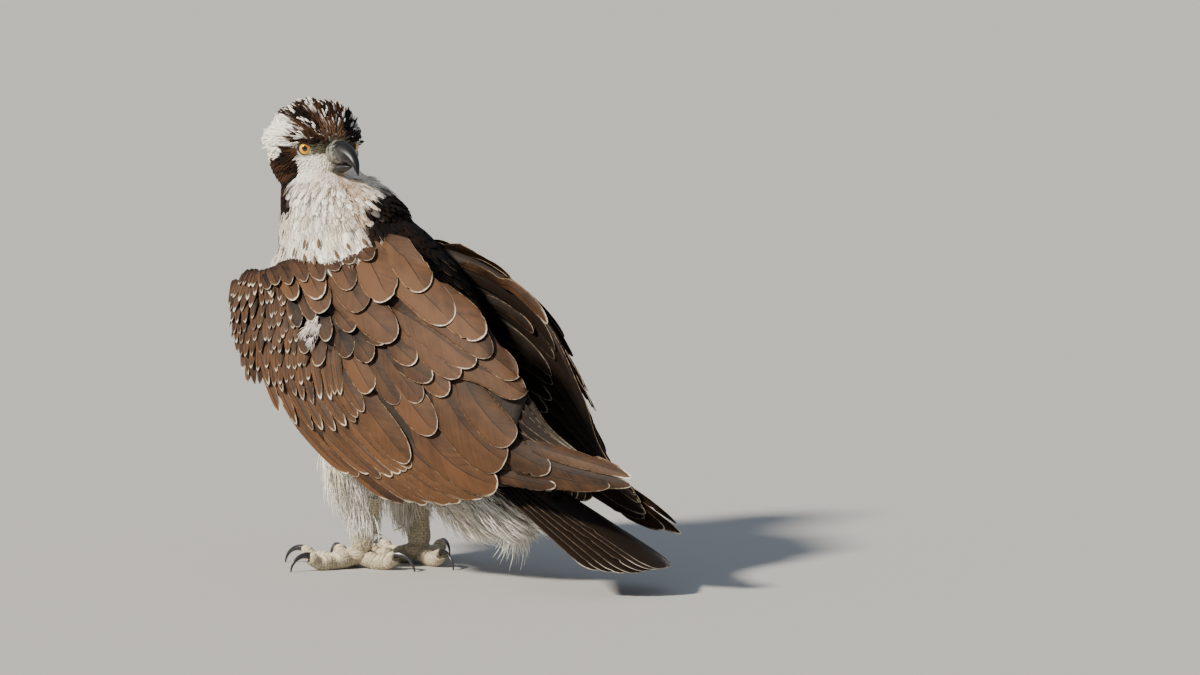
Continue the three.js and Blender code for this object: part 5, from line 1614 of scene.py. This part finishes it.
def makeHub(name, leg):  # ball of the foot, from which the toes spread
    rings, sides = foot["hubRings"], foot["sides"]
    ball = np.linspace(0.03, np.pi - 0.03, rings)
    middle = np.array([*leg["foot"], foot["hubHeight"]])
    centre = middle + zAxis * (np.cos(ball) * foot["hub"] * foot["hubFlat"])[:, None]
    size = foot["hub"] * np.sin(ball)[:, None]
    hub = ellipse(centre, xAxis * size, yAxis * size, sides)
    down, round1 = foot["hubScales"]
    a, b = np.meshgrid(np.linspace(0, 1, rings) * down, np.arange(sides) / sides * round1, indexing="ij")
    height = cellPattern(a, b, 4)
    hub = withScales(hub, hub.mean((0, 1)), height)
    values = {"height": endPadded(height, 0.5, 0.5), "scute": endPadded(0 * height, 0, 0)}
    settle(addMesh(f"foot_{name}_skin", *loft(hub), values), scaleSkin, "foot_skin")


def toePath(leg, way, forward, height):
    path = np.stack([0 * forward + leg["foot"][0], 0 * forward + leg["foot"][1], height], -1)
    return path + way * forward[:, None]


def makeToe(name, leg, way, toe):
    length, root, end = toe[1:4]
    k = np.linspace(*foot["toeReach"], foot["toeRings"])
    radius = mixed(root, end, k) + foot["pads"] * np.cos(2 * np.pi * foot["padCount"] * k)
    raised = np.clip((k - foot["raised"]) / (1 - foot["raised"]), 0, 1)
    lift = (foot["tip"] - end) * raised**1.5
    arch = foot["arch"] * np.clip(1 - k / foot["archShare"], 0, 1)
    path = toePath(leg, way, length * k, radius * foot["press"] + lift + arch)
    rounded = radius * np.sqrt(np.clip(1 - np.clip((k - 0.93) / 0.1, 0, 0.98) ** 2, 0.03, 1))
    scaledTube(f"toe_{name}_skin", path, rounded, ramp(k, *foot["scutesFrom"]), 0.0, f"toe_{name}")


def makeClaw(name, leg, way, toe):
    claw, reach = foot["claw"], toe[4]
    k = np.linspace(0, 1, claw["rings"])
    first = math.radians(claw["start"])
    bow = first - math.radians(claw["sweep"]) * k
    forward = toe[1] - claw["sunk"] + reach * (np.cos(bow) - math.cos(first))
    path = toePath(leg, way, forward, foot["tip"] + reach * (np.sin(bow) - math.sin(first)))
    radius = mixed(*claw["radius"], k**0.85)
    level = np.array([-way[1], way[0], 0])
    along = unit(np.gradient(path, axis=0))
    wide = np.broadcast_to(level, along.shape) * (radius * claw["narrow"])[:, None]
    rings = ellipse(path, wide, np.cross(along, -level) * radius[:, None], claw["sides"])
    rings[..., 2] = np.maximum(rings[..., 2], claw["floor"])
    settle(addMesh(f"claw_{name}_horn", *loft(rings)), clawHorn, "horn", f"claw_{name}")


for name, leg in legs.items():
    makeTarsus(name, leg)
    makeHub(name, leg)
    for number, toe in foot["toes"].items():
        angle = math.radians(leg["turn"] + leg["side"] * toe[0])
        way = np.array([-math.cos(angle), -math.sin(angle), 0])
        makeToe(f"{name}_{number}", leg, way, toe)
        makeClaw(f"{name}_{number}", leg, way, toe)
print("legs made")

# Floor, world and lights
studio = {"floor": (0.46, 0.455, 0.44), "reach": 20, "world": (0.74, 0.84, 1.0), "worldStrength": 0.4,
          "sun": 6.6, "sunTurn": -14, "sunHeight": 37, "sunSoft": 7, "sunColour": (1.0, 0.92, 0.80)}


def makeFloor():
    corners = np.array([[-1, -1, 0], [1, -1, 0], [1, 1, 0], [-1, 1, 0]]) * studio["reach"]
    floor = addMesh("floor", corners / mm - shift, [[0, 1, 2, 3]])
    f = Finish("floorPaper", Roughness=0.9)
    bright = tuple(v * 1.04 for v in studio["floor"])
    paper = f.blend(f.grain(60, 3, 0.5), studio["floor"], bright)
    floor.data.materials.append(f.feed(Base_Color=paper))


def addSun():
    light = addObject("sun", bpy.data.lights.new("sun", "SUN"))
    light.data.energy = studio["sun"]
    light.data.angle = math.radians(studio["sunSoft"])
    light.data.color = studio["sunColour"]
    faceFrom(light, wayTo(studio["sunTurn"], studio["sunHeight"]))


def addWorld():
    world = bpy.data.worlds.new("studio")
    world.use_nodes = True
    background = world.node_tree.nodes["Background"]
    background.inputs["Color"].default_value = (*studio["world"], 1)
    background.inputs["Strength"].default_value = studio["worldStrength"]
    bpy.context.scene.world = world


makeFloor()
addSun()
addWorld()
